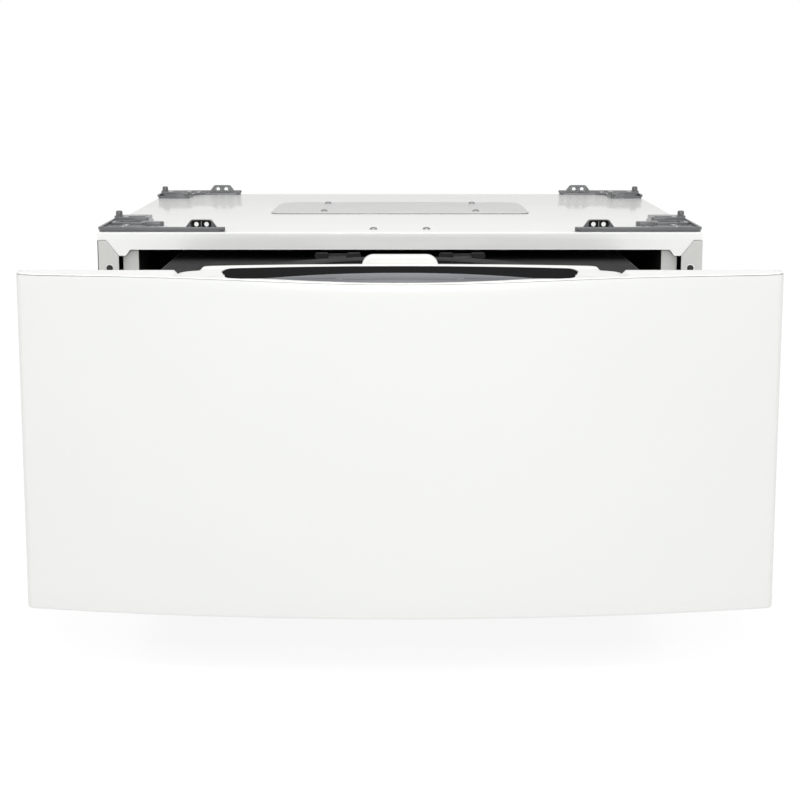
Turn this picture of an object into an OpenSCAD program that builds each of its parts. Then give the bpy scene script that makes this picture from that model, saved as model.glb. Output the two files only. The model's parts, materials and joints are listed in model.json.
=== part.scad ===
// Pedestal washer: a shallow drawer washer that stands under a front load washer.
// Units are millimetres. +Z is up, the front faces -Y, and z = 0 is the floor.
// Everything is drawn with y = 0 on the front plane of the cabinet. Pieces of the drawer
// are drawn in the closed position and then moved out by drawer_out.

/* [Cabinet] */
// Width across the side panels, which is also the width of the front panel
cabinet_w = 686; // [600:1:800]
// Depth from the front plane to the outside of the back panel
cabinet_d = 620; // [560:1:740]
// Height of the top sheet above the floor
cabinet_h = 359; // [320:1:430]
// Thickness of the outer steel sheets
sheet_t = 1.2; // [0.8:0.1:2]
// Thickness of the load bearing steel below the slides and under the base
frame_t = 2.5; // [1.5:0.1:4]
// Height of the turned down front edge of the top sheet
flange_h = 20; // [16:1:26]
// Height of that edge where it meets the posts
gusset_h = 27; // [24:1:34]
// Width of the front post folded from each side panel
post_w = 24; // [20:1:30]
// Gap between a post and the slide support behind it
post_gap = 4; // [3:0.5:8]
// Width of the slide support seen from the front
support_w = 18; // [14:1:24]
// Height of the underside of the base pan above the floor
base_z = 25; // [20:1:32]

/* [Drawer] */
// How far the drawer stands open in the stored pose
drawer_out = 344; // [0:1:400]
// Distance from the front plane of the cabinet to the corners of the closed front panel
panel_reach = 110; // [100:1:130]
// How far the middle of the front panel bows out past its corners
panel_bow = 36; // [20:1:50]
// Radius of the upright corners of the front panel
panel_corner_r = 7; // [4:0.5:12]
// Height of the bottom edge of the front panel above the floor
panel_z = 53; // [46:1:70]
// How far the front panel rises above the top sheet
panel_rise = 5; // [2:0.5:10]
// Thickness of the front skin
skin_t = 1.5; // [1:0.1:2.5]
// Thickness of the drawer's steel sides
side_t = 1.5; // [1:0.1:2.5]
// Width between the drawer side and the slide support, filled by the slide
slide_depth = 39; // [34:1:46]
// Height of a slide member
slide_h = 50; // [40:1:60]
// Height of the middle of the slides above the floor
slide_z = 190; // [150:1:215]
// Thickness of the drawer's top deck
deck_t = 3; // [2:0.5:4]
// Drop from the lower edge of the top sheet's flange to the deck
deck_drop = 11; // [9:0.5:16]

/* [Control top] */
// Width of the raised housing behind the front panel
housing_w = 380; // [340:1:420]
// Width of the black control glass
glass_w = 326; // [280:1:336]
// Thickness of the control glass
glass_t = 1.8; // [1:0.1:2.4]
// Width of the finger grip
grip_w = 244; // [160:1:260]
// Depth of the finger grip below the top
grip_depth = 18; // [12:1:22]
// Width of the lid release button
button_w = 72; // [50:1:90]
// How far the lid release button stands above the top of the front panel
button_rise = 5.4; // [3:0.2:9]
// Travel of the lid release button
button_travel = 4; // [2:0.5:5]

/* [Lid] */
// Radius of the lid
lid_r = 160; // [110:1:165]
// Radius of the smoked window
window_r = 118; // [60:1:125]
// Thickness of the lid frame
lid_t = 5.7; // [5:0.1:6.2]
// Radius of the hinge pins
pin_r = 3; // [2:0.1:3.5]

/* [Tub and drive] */
// Gap between the tub and the drawer sides
tub_side_gap = 28.5; // [26:0.5:50]
// Wall of the plastic tub
tub_wall = 5; // [4:0.5:6]
// Gap between the basket and the tub wall
basket_gap = 19; // [14:1:26]
// Wall of the steel basket
basket_wall = 1.2; // [0.8:0.1:2]
// Travel of the sprung tub below its rest height
float_down = 8; // [4:1:10]
// Travel of the sprung tub above its rest height
float_up = 5; // [2:1:6]
// Radius of the inner drive shaft
shaft_r = 8; // [6:0.5:10]
// Radius of the hollow basket shaft
sleeve_r = 15; // [13:0.5:18]
// Radial running clearance of each shaft in its bearing
run_gap = 0.05; // [0.02:0.01:0.09]
// Outer radius of the rotor
rotor_r = 126; // [100:1:135]
// Height of the rotor
rotor_h = 30; // [24:1:34]
// Number of stator poles
poles = 24; // [12:3:36]

/* [Corner brackets] */
// Length of a front bracket along the front edge
bracket_l = 145; // [142:1:170]
// Length of a front bracket along the side edge
bracket_side = 150; // [146:1:180]
// Length of a rear bracket along the back edge
rear_bracket_l = 112; // [110:1:140]
// Length of a rear bracket along the side edge
rear_bracket_side = 92; // [90:1:120]
// Radius of the two fastening holes in the upright tab
tab_hole_r = 2.6; // [2:0.1:3]
// Distance between the two fastening holes
tab_pitch = 11.5; // [9:0.5:13]

/* [Connections] */
// Radius of the two water inlet ports, 3/4 inch hose thread
port_r = 13.2; // [12:0.1:14]
// How far the water inlet ports stand out of the back panel
port_l = 16; // [12:1:24]
// Outer radius of the drain hose spigot
drain_r = 14; // [11:0.5:16]
// Radius of the hole for the power cord
cord_r = 4.5; // [3:0.1:6]

/* [Feet] */
// Radius of the rubber foot
foot_r = 22; // [18:1:26]
// Radius of the threaded stem
stem_r = 5; // [4:0.5:6]

/* [Hidden] */
$fn = 64;
FINE = 720;
half_w = cabinet_w / 2;
fit = 0.3;              // gap between pieces of different bodies
top_under = cabinet_h - sheet_t;
flange_z = cabinet_h - flange_h;
base_top = base_z + frame_t;

// widths, from the side panel inwards
support_x = half_w - post_w - post_gap;
rail_x = support_x - support_w;
drawer_half = rail_x - slide_depth;
inner_half = drawer_half - side_t;

// heights, from the floor up
rail_h = 12.5;
run_z = base_top + rail_h + 4;              // lowest level of anything that travels
nut_h = 6;
rotor_z = run_z + float_down + nut_h + 2;
stator_z = rotor_z + 8;
stator_h = 20;
tub_z = rotor_z + 44;                       // underside of the tub floor
basket_z = tub_z + 18;
deck_z = flange_z - deck_drop;              // top of the deck
deck_under = deck_z - deck_t;
cover_t = 4;
tub_top = deck_under - float_up - 3 - cover_t;
basket_top = tub_top - 12;

// depths, from the front backwards
panel_y = -panel_reach;
panel_back = panel_y + 17;                  // back of the front panel at its ends
plate_t = 3;
housing_back = -24;
ledge_back = -5;
drawer_rear = cabinet_d - 75;
tub_r = inner_half - tub_side_gap;
tub_y = panel_back + 15 + tub_r;
basket_r = tub_r - tub_wall - basket_gap;
mouth_r = basket_r - 28;
lid_y = ledge_back + 3 + lid_r;
hinge_y = lid_y + lid_r + 12;
hinge_z = deck_z + 4.2;

panel_top = cabinet_h + panel_rise;
skin_top = panel_top - 1;
bow_r = arc_r(half_w, panel_bow);
glass_front = 22;                           // from the bowed front face to the glass
glass_back = -36;
lip = 5;                                    // wall in front of the finger grip
cap_t = 3;
wing_h = 8;
notch_w = 15;
notch_d = 16;
ledge_z = panel_top - 24;                   // seat of the release button's springs

slide_l = cabinet_d - 80;
slide_y = 8;

shaft_top = basket_z + 16;
hub_r = 42;
bearing_r = 30;
bearing_h = 14;
seal_h = 7;
rod_r = 4;
rod_x = inner_half - 26.5;
rod_dy = 150;
shelf_t = 3;
shelf_z = deck_under - 25;
ear_z = tub_z + 62;
ear_t = 6;
rod_foot_z = tub_z + 2;
rod_foot_t = 5;
pump_r = 30;
pump_shaft_r = 3;
pump_z = rotor_z - 8;
pump_angle = 142;
pump_at = tub_r - pump_r - 6;

foot_x = rail_x - 17;
foot_front = 45;
foot_rear = cabinet_d - 45;
foot_h = 12;
stem_top = base_z + 35;
boss_h = 10;
brace_h = 12;

screw_r = 2;
screw_head_r = 4.5;
screw_head_h = 1.6;
screw_l = 8;
screw_gap = 0.1;
plate_w = 328;
plate_d = 185;
plate_y = 255;
plate_h = 1.5;
plate_screws = [for (x = [-97, 97], y = [26, 160]) [x, plate_y + y]];
edge_screws = [[-30.5, 36], [30.5, 36]];
bracket_screws = [[[25, 32], [66, 9], [26, 50]], [[25, 32], [50, 9]]];
tab_w = 39;
tab_h = 13.5;
tab_y = 5.5;
tab_t = 5;
pad_h = 8.5;
pad_l = 40;
bracket_t = 3;
bracket_rib = 5.6;

plug_x = half_w - 13.5;
plug_z = cabinet_h - 41;
plug_r = 3.4;
port_x = [-220, -160];
collar = 3;
service_z = cabinet_h - 59;
drain_x = -190;
drain_z = base_z + 85;
cord_x = 230;

// the row frame's origin is the middle of the stored pose's footprint
front_reach = panel_reach + panel_bow + drawer_out;
origin_y = (front_reach - cabinet_d - port_l) / 2;

// Radius of the arc that rises by s over a half chord c
function arc_r(c, s) = (c * c + s * s) / (2 * s);

// ---- helpers ----

module place() translate([0, origin_y, 0]) children();

module out() translate([0, -drawer_out, 0]) children();

// A middle slide member travels half as far as the drawer
module half_out() translate([0, -drawer_out / 2, 0]) children();

module mirrored() {
    children();
    mirror([1, 0, 0]) children();
}

module tube(r, bore, h) {
    difference() {
        cylinder(r = r, h = h);
        translate([0, 0, -1]) cylinder(r = bore, h = h + 2);
    }
}

// A rectangle with round corners, centred
module rounded(w, d, r) {
    square([w - 2 * r, d], center = true);
    square([w, d - 2 * r], center = true);
    for (x = [-1, 1], y = [-1, 1]) translate([x * (w / 2 - r), y * (d / 2 - r)]) circle(r);
}

// A round wire wound n turns at radius r from z = 0 to z = h
module coil(r, wire, h, n, steps = 12, sides = 6) {
    last = n * steps;
    rise = h - 2 * wire;
    points = [for (i = [0:last], j = [0:sides - 1])
        let (a = 360 * i / steps, b = 360 * j / sides, q = r + wire * cos(b))
        [q * cos(a), q * sin(a), wire + rise * i / last + wire * sin(b)]];
    quads = [for (i = [0:last - 1], j = [0:sides - 1])
        let (k = (j + 1) % sides)
        [i * sides + j, (i + 1) * sides + j, (i + 1) * sides + k, i * sides + k]];
    polyhedron(points, concat([[for (j = [0:sides - 1]) j]], quads,
        [[for (j = [sides - 1:-1:0]) last * sides + j]]));
}

module screw() {
    translate([0, 0, -screw_l]) cylinder(r = screw_r, h = screw_l);
    cylinder(r = screw_head_r, h = screw_head_h);
}

module screw_hole() translate([0, 0, -30]) cylinder(r = screw_r + screw_gap, h = 60);

// ---- cabinet ----

// Outline of the flange under the front edge of the top sheet, with its mitred gussets
module flange_outline() {
    mitre = 10;
    drop = 9;
    step = 14;
    polygon([[-half_w, cabinet_h], [half_w, cabinet_h], [half_w, cabinet_h - drop],
        [half_w - mitre, cabinet_h - drop], [half_w - post_w, cabinet_h - gusset_h],
        [half_w - post_w - 6, cabinet_h - gusset_h], [half_w - post_w - step, flange_z],
        [-half_w + post_w + step, flange_z], [-half_w + post_w + 6, cabinet_h - gusset_h],
        [-half_w + post_w, cabinet_h - gusset_h], [-half_w + mitre, cabinet_h - drop],
        [-half_w, cabinet_h - drop]]);
}

module upright(y, t) translate([0, y + t, 0]) rotate([90, 0, 0]) linear_extrude(t) children();

module top_panel() color("white") {
    side_lip = 14;
    difference() {
        union() {
            translate([-half_w, 0, top_under]) cube([cabinet_w, cabinet_d, sheet_t]);
            upright(0, sheet_t) flange_outline();
            for (x = [-half_w, half_w - sheet_t])
                translate([x, sheet_t, cabinet_h - side_lip])
                    cube([sheet_t, cabinet_d - sheet_t, side_lip]);
            translate([-half_w, cabinet_d - sheet_t, cabinet_h - side_lip])
                cube([cabinet_w, sheet_t, side_lip]);
        }
        for (p = concat(plate_screws, edge_screws)) translate([p[0], p[1], cabinet_h]) screw_hole();
        for (x = [0, 1], y = [0, 1]) corner(x, y) for (p = bracket_screws[y])
            translate([p[0], p[1], cabinet_h]) screw_hole();
    }
}

// The right side panel: side sheet, front post and rear return in one folded sheet
module side_panel() {
    side_lip = 14;
    top = cabinet_h - side_lip - 0.2;
    difference() {
        union() {
            translate([half_w - sheet_t, 0, base_z]) cube([sheet_t, cabinet_d, top - base_z]);
            upright(0, sheet_t) polygon([[half_w, base_z], [half_w, cabinet_h - 9.2],
                [half_w - 10, cabinet_h - 9.2], [half_w - post_w, cabinet_h - gusset_h - 0.2],
                [half_w - post_w, base_z]]);
            translate([half_w - 14, cabinet_d - sheet_t, base_z])
                cube([14, sheet_t, top - base_z]);
            translate([half_w - 14, sheet_t, base_z]) cube([14 - sheet_t, cabinet_d - sheet_t, sheet_t]);
        }
        translate([plug_x, -1, plug_z]) rotate([-90, 0, 0]) cylinder(r = plug_r, h = 5);
    }
}

module right_side_panel() color("white") side_panel();

module left_side_panel() color("white") mirror([1, 0, 0]) side_panel();

module back_panel() color("gainsboro") {
    w = cabinet_w - 28 - 1;
    y = cabinet_d - sheet_t;
    difference() {
        translate([-w / 2, y, base_top]) cube([w, sheet_t, cabinet_h - 14.5 - base_top]);
        for (x = port_x) translate([x, y - 1, service_z]) rotate([-90, 0, 0])
            cylinder(r = port_r + collar, h = 5);
        translate([drain_x, y - 1, drain_z]) rotate([-90, 0, 0]) cylinder(r = drain_r + collar, h = 5);
        translate([cord_x, y - 1, service_z]) rotate([-90, 0, 0]) cylinder(r = cord_r + 5, h = 5);
        for (x = [-60:20:60]) translate([x, y - 1, base_z + 60]) upright(0, 5)
            translate([0, 20]) rounded(7, 40, 3.4);
    }
}

module base_pan() color("silver") {
    lip_h = 10;
    w = cabinet_w - 2 * sheet_t - 1;
    y0 = sheet_t + 0.4;
    d = cabinet_d - 2 * y0;
    difference() {
        union() {
            translate([-w / 2, y0, base_z + sheet_t]) cube([w, d, frame_t]);
            for (y = [y0, y0 + d - frame_t])
                translate([-w / 2, y, base_z + sheet_t]) cube([w, frame_t, lip_h]);
            at_feet() translate([0, 0, base_z + sheet_t]) cylinder(r = 13, h = boss_h);
        }
        at_feet() translate([0, 0, -1]) cylinder(r = stem_r + 0.2, h = cabinet_h / 2);
    }
}

module at_feet() for (x = [-foot_x, foot_x], y = [foot_front, foot_rear])
    translate([x, y, 0]) children();

// A square steel tube that ties the posts together below the drawer
module front_rail() color("silver") {
    w = 2 * (support_x - 1);
    y0 = sheet_t + frame_t + 1;
    z0 = base_z + sheet_t + frame_t;
    difference() {
        translate([-w / 2, y0, z0]) cube([w, 22, rail_h - sheet_t]);
        translate([-w / 2 - 1, y0 + 1.5, z0 + 1.5]) cube([w + 2, 19, rail_h - sheet_t - 3]);
    }
}

// Two hat sections that carry the weight of the machine above
module top_braces() color("silver") for (y = [plate_y - 55, plate_y + plate_d + 20])
    translate([-support_x, y, top_under - brace_h]) difference() {
        cube([2 * support_x, 40, brace_h]);
        translate([-1, frame_t, frame_t]) cube([2 * support_x + 2, 40 - 2 * frame_t, 20]);
    }

// A folded channel behind each post, which carries the slide
module slide_support() {
    z0 = base_z + sheet_t + frame_t;
    z1 = top_under - brace_h;
    y0 = 6;
    d = cabinet_d - 70;
    translate([rail_x, y0, z0 + rail_h]) cube([frame_t, d, z1 - z0 - rail_h]);
    for (y = [y0, y0 + d - frame_t]) translate([rail_x, y, z0 + rail_h])
        cube([support_w, frame_t, z1 - z0 - rail_h]);
    translate([rail_x, y0 + 40, z0]) cube([support_w, d - 90, frame_t]);
    translate([rail_x, y0 + 40, z0]) cube([frame_t, d - 90, rail_h]);
}

module right_slide_support() color("whitesmoke") slide_support();

module left_slide_support() color("whitesmoke") mirror([1, 0, 0]) slide_support();

// Profiles are drawn as [out from the drawer side, height] and run along Y
module slide_profile() translate([drawer_half, slide_y + slide_l, slide_z]) rotate([90, 0, 0])
    linear_extrude(slide_l) children();

wall = 2;
race = slide_h / 2 - wall;

module slide_outer() slide_profile() {
    translate([slide_depth - wall, -slide_h / 2]) square([wall, slide_h]);
    for (s = [-1, 1]) translate([slide_depth - 15, s * (race + wall / 2) - wall / 2])
        square([15, wall]);
}

module slide_middle() slide_profile() {
    translate([slide_depth / 2 - wall / 2, -race + fit]) square([wall, 2 * (race - fit)]);
    for (s = [-1, 1]) translate([4, s * (race - fit - wall / 2) - wall / 2])
        square([slide_depth - 8, wall]);
}

module slide_inner() slide_profile() {
    translate([0, -slide_h / 2]) square([wall, slide_h]);
    for (s = [-1, 1]) translate([0, s * (race + wall / 2) - wall / 2]) square([15, wall]);
}

module right_slide_outer() color("dimgray") slide_outer();

module left_slide_outer() color("silver") mirror([1, 0, 0]) slide_outer();

module right_slide_middle() color("silver") half_out() slide_middle();

module left_slide_middle() color("silver") half_out() mirror([1, 0, 0]) slide_middle();

module right_slide_inner() color("silver") out() slide_inner();

module left_slide_inner() color("silver") out() mirror([1, 0, 0]) slide_inner();

// ---- corner brackets, drawn for the front left corner of the top ----

// Moves from the front left corner to any corner: x = 1 is right, y = 1 is rear
module corner(x, y) translate([0, y * cabinet_d, 0]) mirror([0, y, 0]) mirror([x, 0, 0])
    translate([-half_w, 0, 0]) children();

// A bracket of length l and side arm length d, with screws at a list of places
module bracket(l, d, sweep, screws) {
    wing_w = 45;
    strip_w = 16;
    edge = 0.5;
    tab_from = l - 8 - tab_w;
    pad_y = d - 10 - pad_l;
    difference() {
        union() {
            linear_extrude(bracket_t) difference() {
                union() {
                    translate([edge, edge]) square([l - edge, strip_w]);
                    translate([edge, edge]) square([wing_w, d - edge]);
                    translate([wing_w, strip_w]) square(sweep);
                }
                translate([wing_w + sweep + edge, strip_w + sweep + edge]) circle(sweep);
            }
            translate([edge, edge, 0]) cube([l - edge, 3, bracket_rib]);
            translate([edge, edge, 0]) cube([3, d - edge, bracket_rib]);
            translate([6, pad_y, 0]) cube([wing_w - 6, pad_l, pad_h]);
            translate([8, d - 32, 0]) cylinder(r = 4, h = 15);
            translate([0, tab_y + tab_t, 0]) rotate([90, 0, 0]) linear_extrude(tab_t)
                polygon([[tab_from, 1], [tab_from, bracket_t], [tab_from + 8, tab_h],
                    [tab_from + tab_w - 8, tab_h], [tab_from + tab_w, bracket_t],
                    [tab_from + tab_w, 1]]);
        }
        for (s = [-1, 1]) translate([tab_from + tab_w / 2 + s * tab_pitch / 2, tab_y - 1, 8])
            rotate([-90, 0, 0]) cylinder(r = tab_hole_r, h = tab_t + 2);
        for (p = screws) translate([p[0], p[1], 0]) screw_hole();
    }
}

module corner_bracket(x, y) color("dimgray") corner(x, y) translate([0, 0, cabinet_h])
    if (y == 0) bracket(bracket_l, bracket_side, 50, bracket_screws[0]);
    else bracket(rear_bracket_l, rear_bracket_side, 18, bracket_screws[1]);

module service_cover() color("darkgray") translate([0, plate_y + plate_d / 2, cabinet_h])
    difference() {
        linear_extrude(plate_h) rounded(plate_w, plate_d, 20);
        for (p = plate_screws) translate([p[0], p[1] - plate_y - plate_d / 2, 0]) screw_hole();
    }

module top_screws() color("silver") {
    for (p = plate_screws) translate([p[0], p[1], cabinet_h + plate_h]) screw();
    for (p = edge_screws) translate([p[0], p[1], cabinet_h]) screw();
    for (x = [0, 1], y = [0, 1]) corner(x, y) for (p = bracket_screws[y])
        translate([p[0], p[1], cabinet_h + bracket_t]) screw();
}

module post_plugs() color("black") mirrored() translate([plug_x, 0, plug_z]) rotate([90, 0, 0])
    difference() {
        union() {
            cylinder(r = plug_r + 1.8, h = 2.5);
            translate([0, 0, -sheet_t - 3]) cylinder(r = plug_r, h = sheet_t + 3);
        }
        translate([0, 0, -2]) cylinder(r = 2.2, h = 6);
    }

// ---- connections and electrics on the back ----

module inlet_valve() color("white") {
    y = cabinet_d - sheet_t;
    mid = (port_x[0] + port_x[1]) / 2;
    translate([mid - 50, y - 40, service_z - 14]) cube([100, 40, 28]);
    for (x = port_x) {
        translate([x, y, service_z]) rotate([-90, 0, 0]) {
            tube(port_r + collar, 9, sheet_t);
            translate([0, 0, sheet_t]) tube(port_r, 9, port_l);
        }
        translate([x, y - 22, service_z - 38]) cylinder(r = 11, h = 24);
    }
}

module drain_spigot() color("dimgray") translate([drain_x, cabinet_d, drain_z])
    rotate([-90, 0, 0]) {
        tube(drain_r, drain_r - 3, port_l);
        translate([0, 0, -sheet_t]) tube(drain_r + collar, drain_r - 3, sheet_t);
        translate([0, 0, -sheet_t - 3]) tube(drain_r + 7, drain_r - 3, 3);
        translate([0, 0, -30]) tube(drain_r, drain_r - 3, 30 - sheet_t - 3);
    }

module cord_gland() color("black") translate([cord_x, cabinet_d, service_z]) rotate([-90, 0, 0])
    difference() {
        union() {
            translate([0, 0, -sheet_t - 8]) cylinder(r = cord_r + 5, h = sheet_t + 8);
            cylinder(r = cord_r + 8, h = 3);
            cylinder(r = cord_r + 3.5, h = 12);
        }
        translate([0, 0, -20]) cylinder(r = cord_r, h = 50);
    }

module control_box() color("white") translate([110, drawer_rear + 15, base_z + 150]) {
    difference() {
        cube([150, cabinet_d - sheet_t - drawer_rear - 15, 80]);
        translate([3, -3, 3]) cube([144, 40, 74]);
    }
    translate([8, 10, 5]) cube([134, 1.6, 70]);
    for (x = [20, 60, 95]) translate([x, 11.6, 20]) cube([22, 12, 30]);
    for (x = [9, 139], z = [6, 72]) translate([x, 11.6, z]) cube([4, cabinet_d - sheet_t
        - drawer_rear - 15 - 11.6 - 3, 3]);
}

// ---- feet ----

module foot(x, y) color("dimgray") translate([x, y, 0]) {
    cylinder(r = foot_r, h = foot_h - 5);
    translate([0, 0, foot_h - 5]) cylinder(r1 = foot_r, r2 = foot_r - 8, h = 5);
    cylinder(r = stem_r, h = stem_top);
}

module foot_lock_nuts() color("silver") at_feet() translate([0, 0, base_z - 6]) difference() {
    cylinder(r = 9.5, h = 6, $fn = 6);
    translate([0, 0, -1]) cylinder(r = stem_r + 0.2, h = 20);
}

// ---- front of the drawer ----

// Plan of the front panel from its bowed face back to y = back, inset by i all round
module panel_plan(i, back) {
    r = bow_r - i;
    c = max(panel_corner_r - i, 0);
    w = half_w - i;
    centre_y = panel_y - panel_bow + bow_r;
    cy = centre_y - sqrt(pow(r - c, 2) - pow(w - c, 2));
    touch = (w - c) * r / (r - c);
    intersection() {
        translate([0, centre_y]) circle(r, $fn = FINE);
        translate([-touch, panel_y - panel_bow]) square([2 * touch, back - panel_y + panel_bow]);
    }
    if (c > 0) for (s = [-1, 1]) translate([s * (w - c), cy]) circle(c);
    translate([-w, cy]) square([2 * w, back - cy]);
}

module front_skin() color("white") out() {
    h = skin_top - panel_z;
    translate([0, 0, panel_z]) difference() {
        linear_extrude(h) panel_plan(0, panel_back);
        translate([0, 0, skin_t]) linear_extrude(h) panel_plan(skin_t, panel_back + 1);
        translate([0, 0, -1]) linear_extrude(h) panel_plan(18, panel_back + 1);
    }
}

module front_backplate() color("white") out() {
    w = half_w - skin_t - fit;
    mid = housing_w / 2 + fit;
    z0 = panel_z + skin_t + fit;
    z1 = panel_top - wing_h;
    upright(panel_back - plate_t, plate_t) polygon([[-w, z0], [w, z0], [w, z1], [mid + 14, z1],
        [mid, deck_z], [-mid, deck_z], [-mid - 14, z1], [-w, z1]]);
    for (x = [-240, -120, 0, 120, 240]) translate([x - 1, panel_back - plate_t - 12, z0 + 20])
        cube([2, 12, deck_z - z0 - 60]);
}

// Plan of the raised housing behind the middle of the front panel, inset by i
module housing_plan(i) {
    h = housing_w / 2 - i;
    back = housing_back - i;
    intersection() {
        union() {
            translate([-h, panel_y - panel_bow]) square([2 * h, panel_back - panel_y + panel_bow]);
            polygon([[-h, panel_back - 1], [h, panel_back - 1], [h - 4, back - 22],
                [h - 12, back], [-h + 12, back], [-h + 4, back - 22]]);
        }
        panel_plan(skin_t + 0.2 + i, 0);
    }
}

// Lens shaped plan of the finger grip, grown by g
module grip_plan(g) {
    side_y = panel_y - panel_bow + 18;
    front = 18 - lip;
    back = 35;
    intersection() {
        translate([0, side_y + back - arc_r(grip_w / 2, back)])
            circle(arc_r(grip_w / 2, back) + g, $fn = 256);
        translate([0, side_y - front + arc_r(grip_w / 2, front)])
            circle(arc_r(grip_w / 2, front) + g, $fn = 512);
    }
}

// Plan of the control glass, inset by i
module glass_plan(i) difference() {
    intersection() {
        translate([-glass_w / 2 + i, panel_y - panel_bow])
            square([glass_w - 2 * i, glass_back - i - panel_y + panel_bow]);
        panel_plan(glass_front + i, 0);
    }
    grip_plan(2 + i);
}

module top_cap() color("white") out() {
    z0 = deck_z;
    h = panel_top - z0;
    top_t = 3.6;
    difference() {
        union() {
            translate([0, 0, z0]) linear_extrude(h) housing_plan(0);
            translate([0, 0, panel_top - wing_h]) linear_extrude(wing_h) difference() {
                panel_plan(skin_t + 0.2, panel_back);
                translate([-housing_w / 2 - notch_w, panel_back - notch_d])
                    square([housing_w + 2 * notch_w, notch_d + 1]);
            }
        }
        difference() {
            translate([0, 0, z0 - 1]) linear_extrude(h - top_t + 1) housing_plan(cap_t);
            translate([0, 0, z0 - 2]) linear_extrude(h) grip_plan(2.5);
        }
        translate([0, 0, panel_top - grip_depth]) linear_extrude(h) grip_plan(0);
        translate([0, 0, panel_top - glass_t]) linear_extrude(h) glass_plan(0);
    }
    translate([-button_w / 2 - 10, housing_back, ledge_z - 3])
        cube([button_w + 20, ledge_back - housing_back, 3]);
    for (s = [-1, 1]) translate([s * (button_w / 2 + 2.5) - 1.5, housing_back, ledge_z])
        cube([3, ledge_back - housing_back, 10]);
}

module control_glass() color("black") out() translate([0, 0, panel_top - glass_t])
    linear_extrude(glass_t) glass_plan(0.15);

module lid_button() color("white") out() {
    z0 = ledge_z + button_travel + 2;
    top = panel_top + button_rise;
    w = button_w / 2;
    soft = 7;
    difference() {
        upright(housing_back + 1.5, 17) union() {
            polygon([[-w, z0], [w, z0], [w, top - soft], [-w, top - soft]]);
            polygon([[-w + soft, z0], [w - soft, z0], [w - soft, top], [-w + soft, top]]);
            for (s = [-1, 1]) translate([s * (w - soft), top - soft]) circle(soft);
        }
        for (s = [-1, 1]) translate([s * 20, housing_back + 10, z0 - 1]) cylinder(r = 6, h = 13);
    }
}

module button_spring() color("silver") out() for (s = [-1, 1])
    translate([s * 20, housing_back + 10, ledge_z + 0.1])
        coil(4, 0.6, button_travel + 2 + 12 - 0.2, 5);

// ---- deck and body of the drawer ----

module drawer_deck() color("dimgray") out() {
    w = 2 * (inner_half - 0.5);
    y0 = panel_back + 2;
    difference() {
        translate([-w / 2, y0, deck_under]) cube([w, drawer_rear - side_t - 0.5 - y0, deck_t]);
        translate([0, lid_y, 0]) cylinder(r = lid_r - 6, h = 2 * cabinet_h, $fn = 128);
    }
    for (x = [-95, -59, 45, 81]) difference() {
        translate([x, hinge_y - 5, deck_z]) cube([14, 10, hinge_z - deck_z + 4.5]);
        translate([x - 1, hinge_y, hinge_z]) rotate([0, 90, 0]) cylinder(r = pin_r, h = 16);
    }
}

module lid_hinge_pins() color("silver") out() for (x = [-96, 44])
    translate([x, hinge_y, hinge_z]) rotate([0, 90, 0]) cylinder(r = pin_r, h = 52);

// A side sheet of the drawer with its front return and the shelves that carry the tub's rods
module drawer_side() {
    z0 = run_z + 4;
    difference() {
        union() {
            translate([inner_half, panel_back, z0])
                cube([side_t, drawer_rear - panel_back, deck_under - z0 + deck_t]);
            translate([inner_half - 12, panel_back, z0]) cube([12, side_t, deck_under - z0 - 4]);
            for (s = [-1, 1]) translate([rod_x - 14, tub_y + s * rod_dy - 14, shelf_z])
                cube([inner_half - rod_x + 14, 28, shelf_t]);
        }
        for (s = [-1, 1]) translate([rod_x, tub_y + s * rod_dy, 0])
            cylinder(r = rod_r + 0.3, h = cabinet_h);
    }
}

module drawer_right_side() color("gainsboro") out() drawer_side();

module drawer_left_side() color("gainsboro") out() mirror([1, 0, 0]) drawer_side();

module drawer_rear_wall() color("gainsboro") out() {
    w = 2 * (inner_half - 0.2);
    z0 = run_z + 4;
    difference() {
        translate([-w / 2, drawer_rear - side_t, z0]) cube([w, side_t, deck_z - z0]);
        for (x = [-120, 120]) translate([x, 0, z0 + 60]) upright(drawer_rear - 5, 10)
            rounded(60, 40, 12);
    }
}

module drawer_cross_rails() color("silver") out() {
    w = 2 * (inner_half - 0.2);
    z0 = run_z + 1;
    for (y = [tub_y - tub_r + 0.5, drawer_rear - 26]) translate([-w / 2, y, z0 + 3]) {
        cube([w, 20, 2]);
        cube([w, 2, 16]);
    }
}

// ---- lid ----

module lid_frame() color("dimgray") out() {
    z0 = deck_z + fit;
    difference() {
        union() {
            translate([0, lid_y, z0]) cylinder(r = lid_r, h = lid_t, $fn = 128);
            for (s = [-1, 1]) {
                translate([s * 70 - 10, hinge_y - 30, z0 + 1]) cube([20, 30, lid_t - 1]);
                translate([s * 70 - 10, hinge_y, hinge_z]) rotate([0, 90, 0])
                    cylinder(r = 3.9, h = 20);
            }
        }
        translate([0, lid_y, 0]) cylinder(r = window_r, h = cabinet_h, $fn = 128);
        translate([0, lid_y, z0 + 1.7]) cylinder(r = window_r + 5, h = lid_t, $fn = 128);
        for (x = [-82, 58]) translate([x, hinge_y, hinge_z]) rotate([0, 90, 0])
            cylinder(r = pin_r + run_gap, h = 24);
    }
    translate([-10, lid_y - lid_r + 10, z0 - 9]) cube([20, 2, 9]);
    translate([-10, lid_y - lid_r + 8, z0 - 9]) cube([20, 2, 2]);
}

module lid_window() color([0.1, 0.1, 0.12, 0.6]) out()
    translate([0, lid_y, deck_z + fit + 1.7]) cylinder(r = window_r + 4.9, h = 3.4, $fn = 128);

// ---- tub, hung on four sprung rods ----

module at_tub() out() translate([0, tub_y, 0]) children();

module at_rods() at_tub() for (x = [-1, 1], y = [-1, 1]) translate([x * rod_x, y * rod_dy, 0])
    children();

module at_pump() at_tub() rotate([0, 0, pump_angle]) translate([pump_at, 0, 0]) children();

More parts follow.
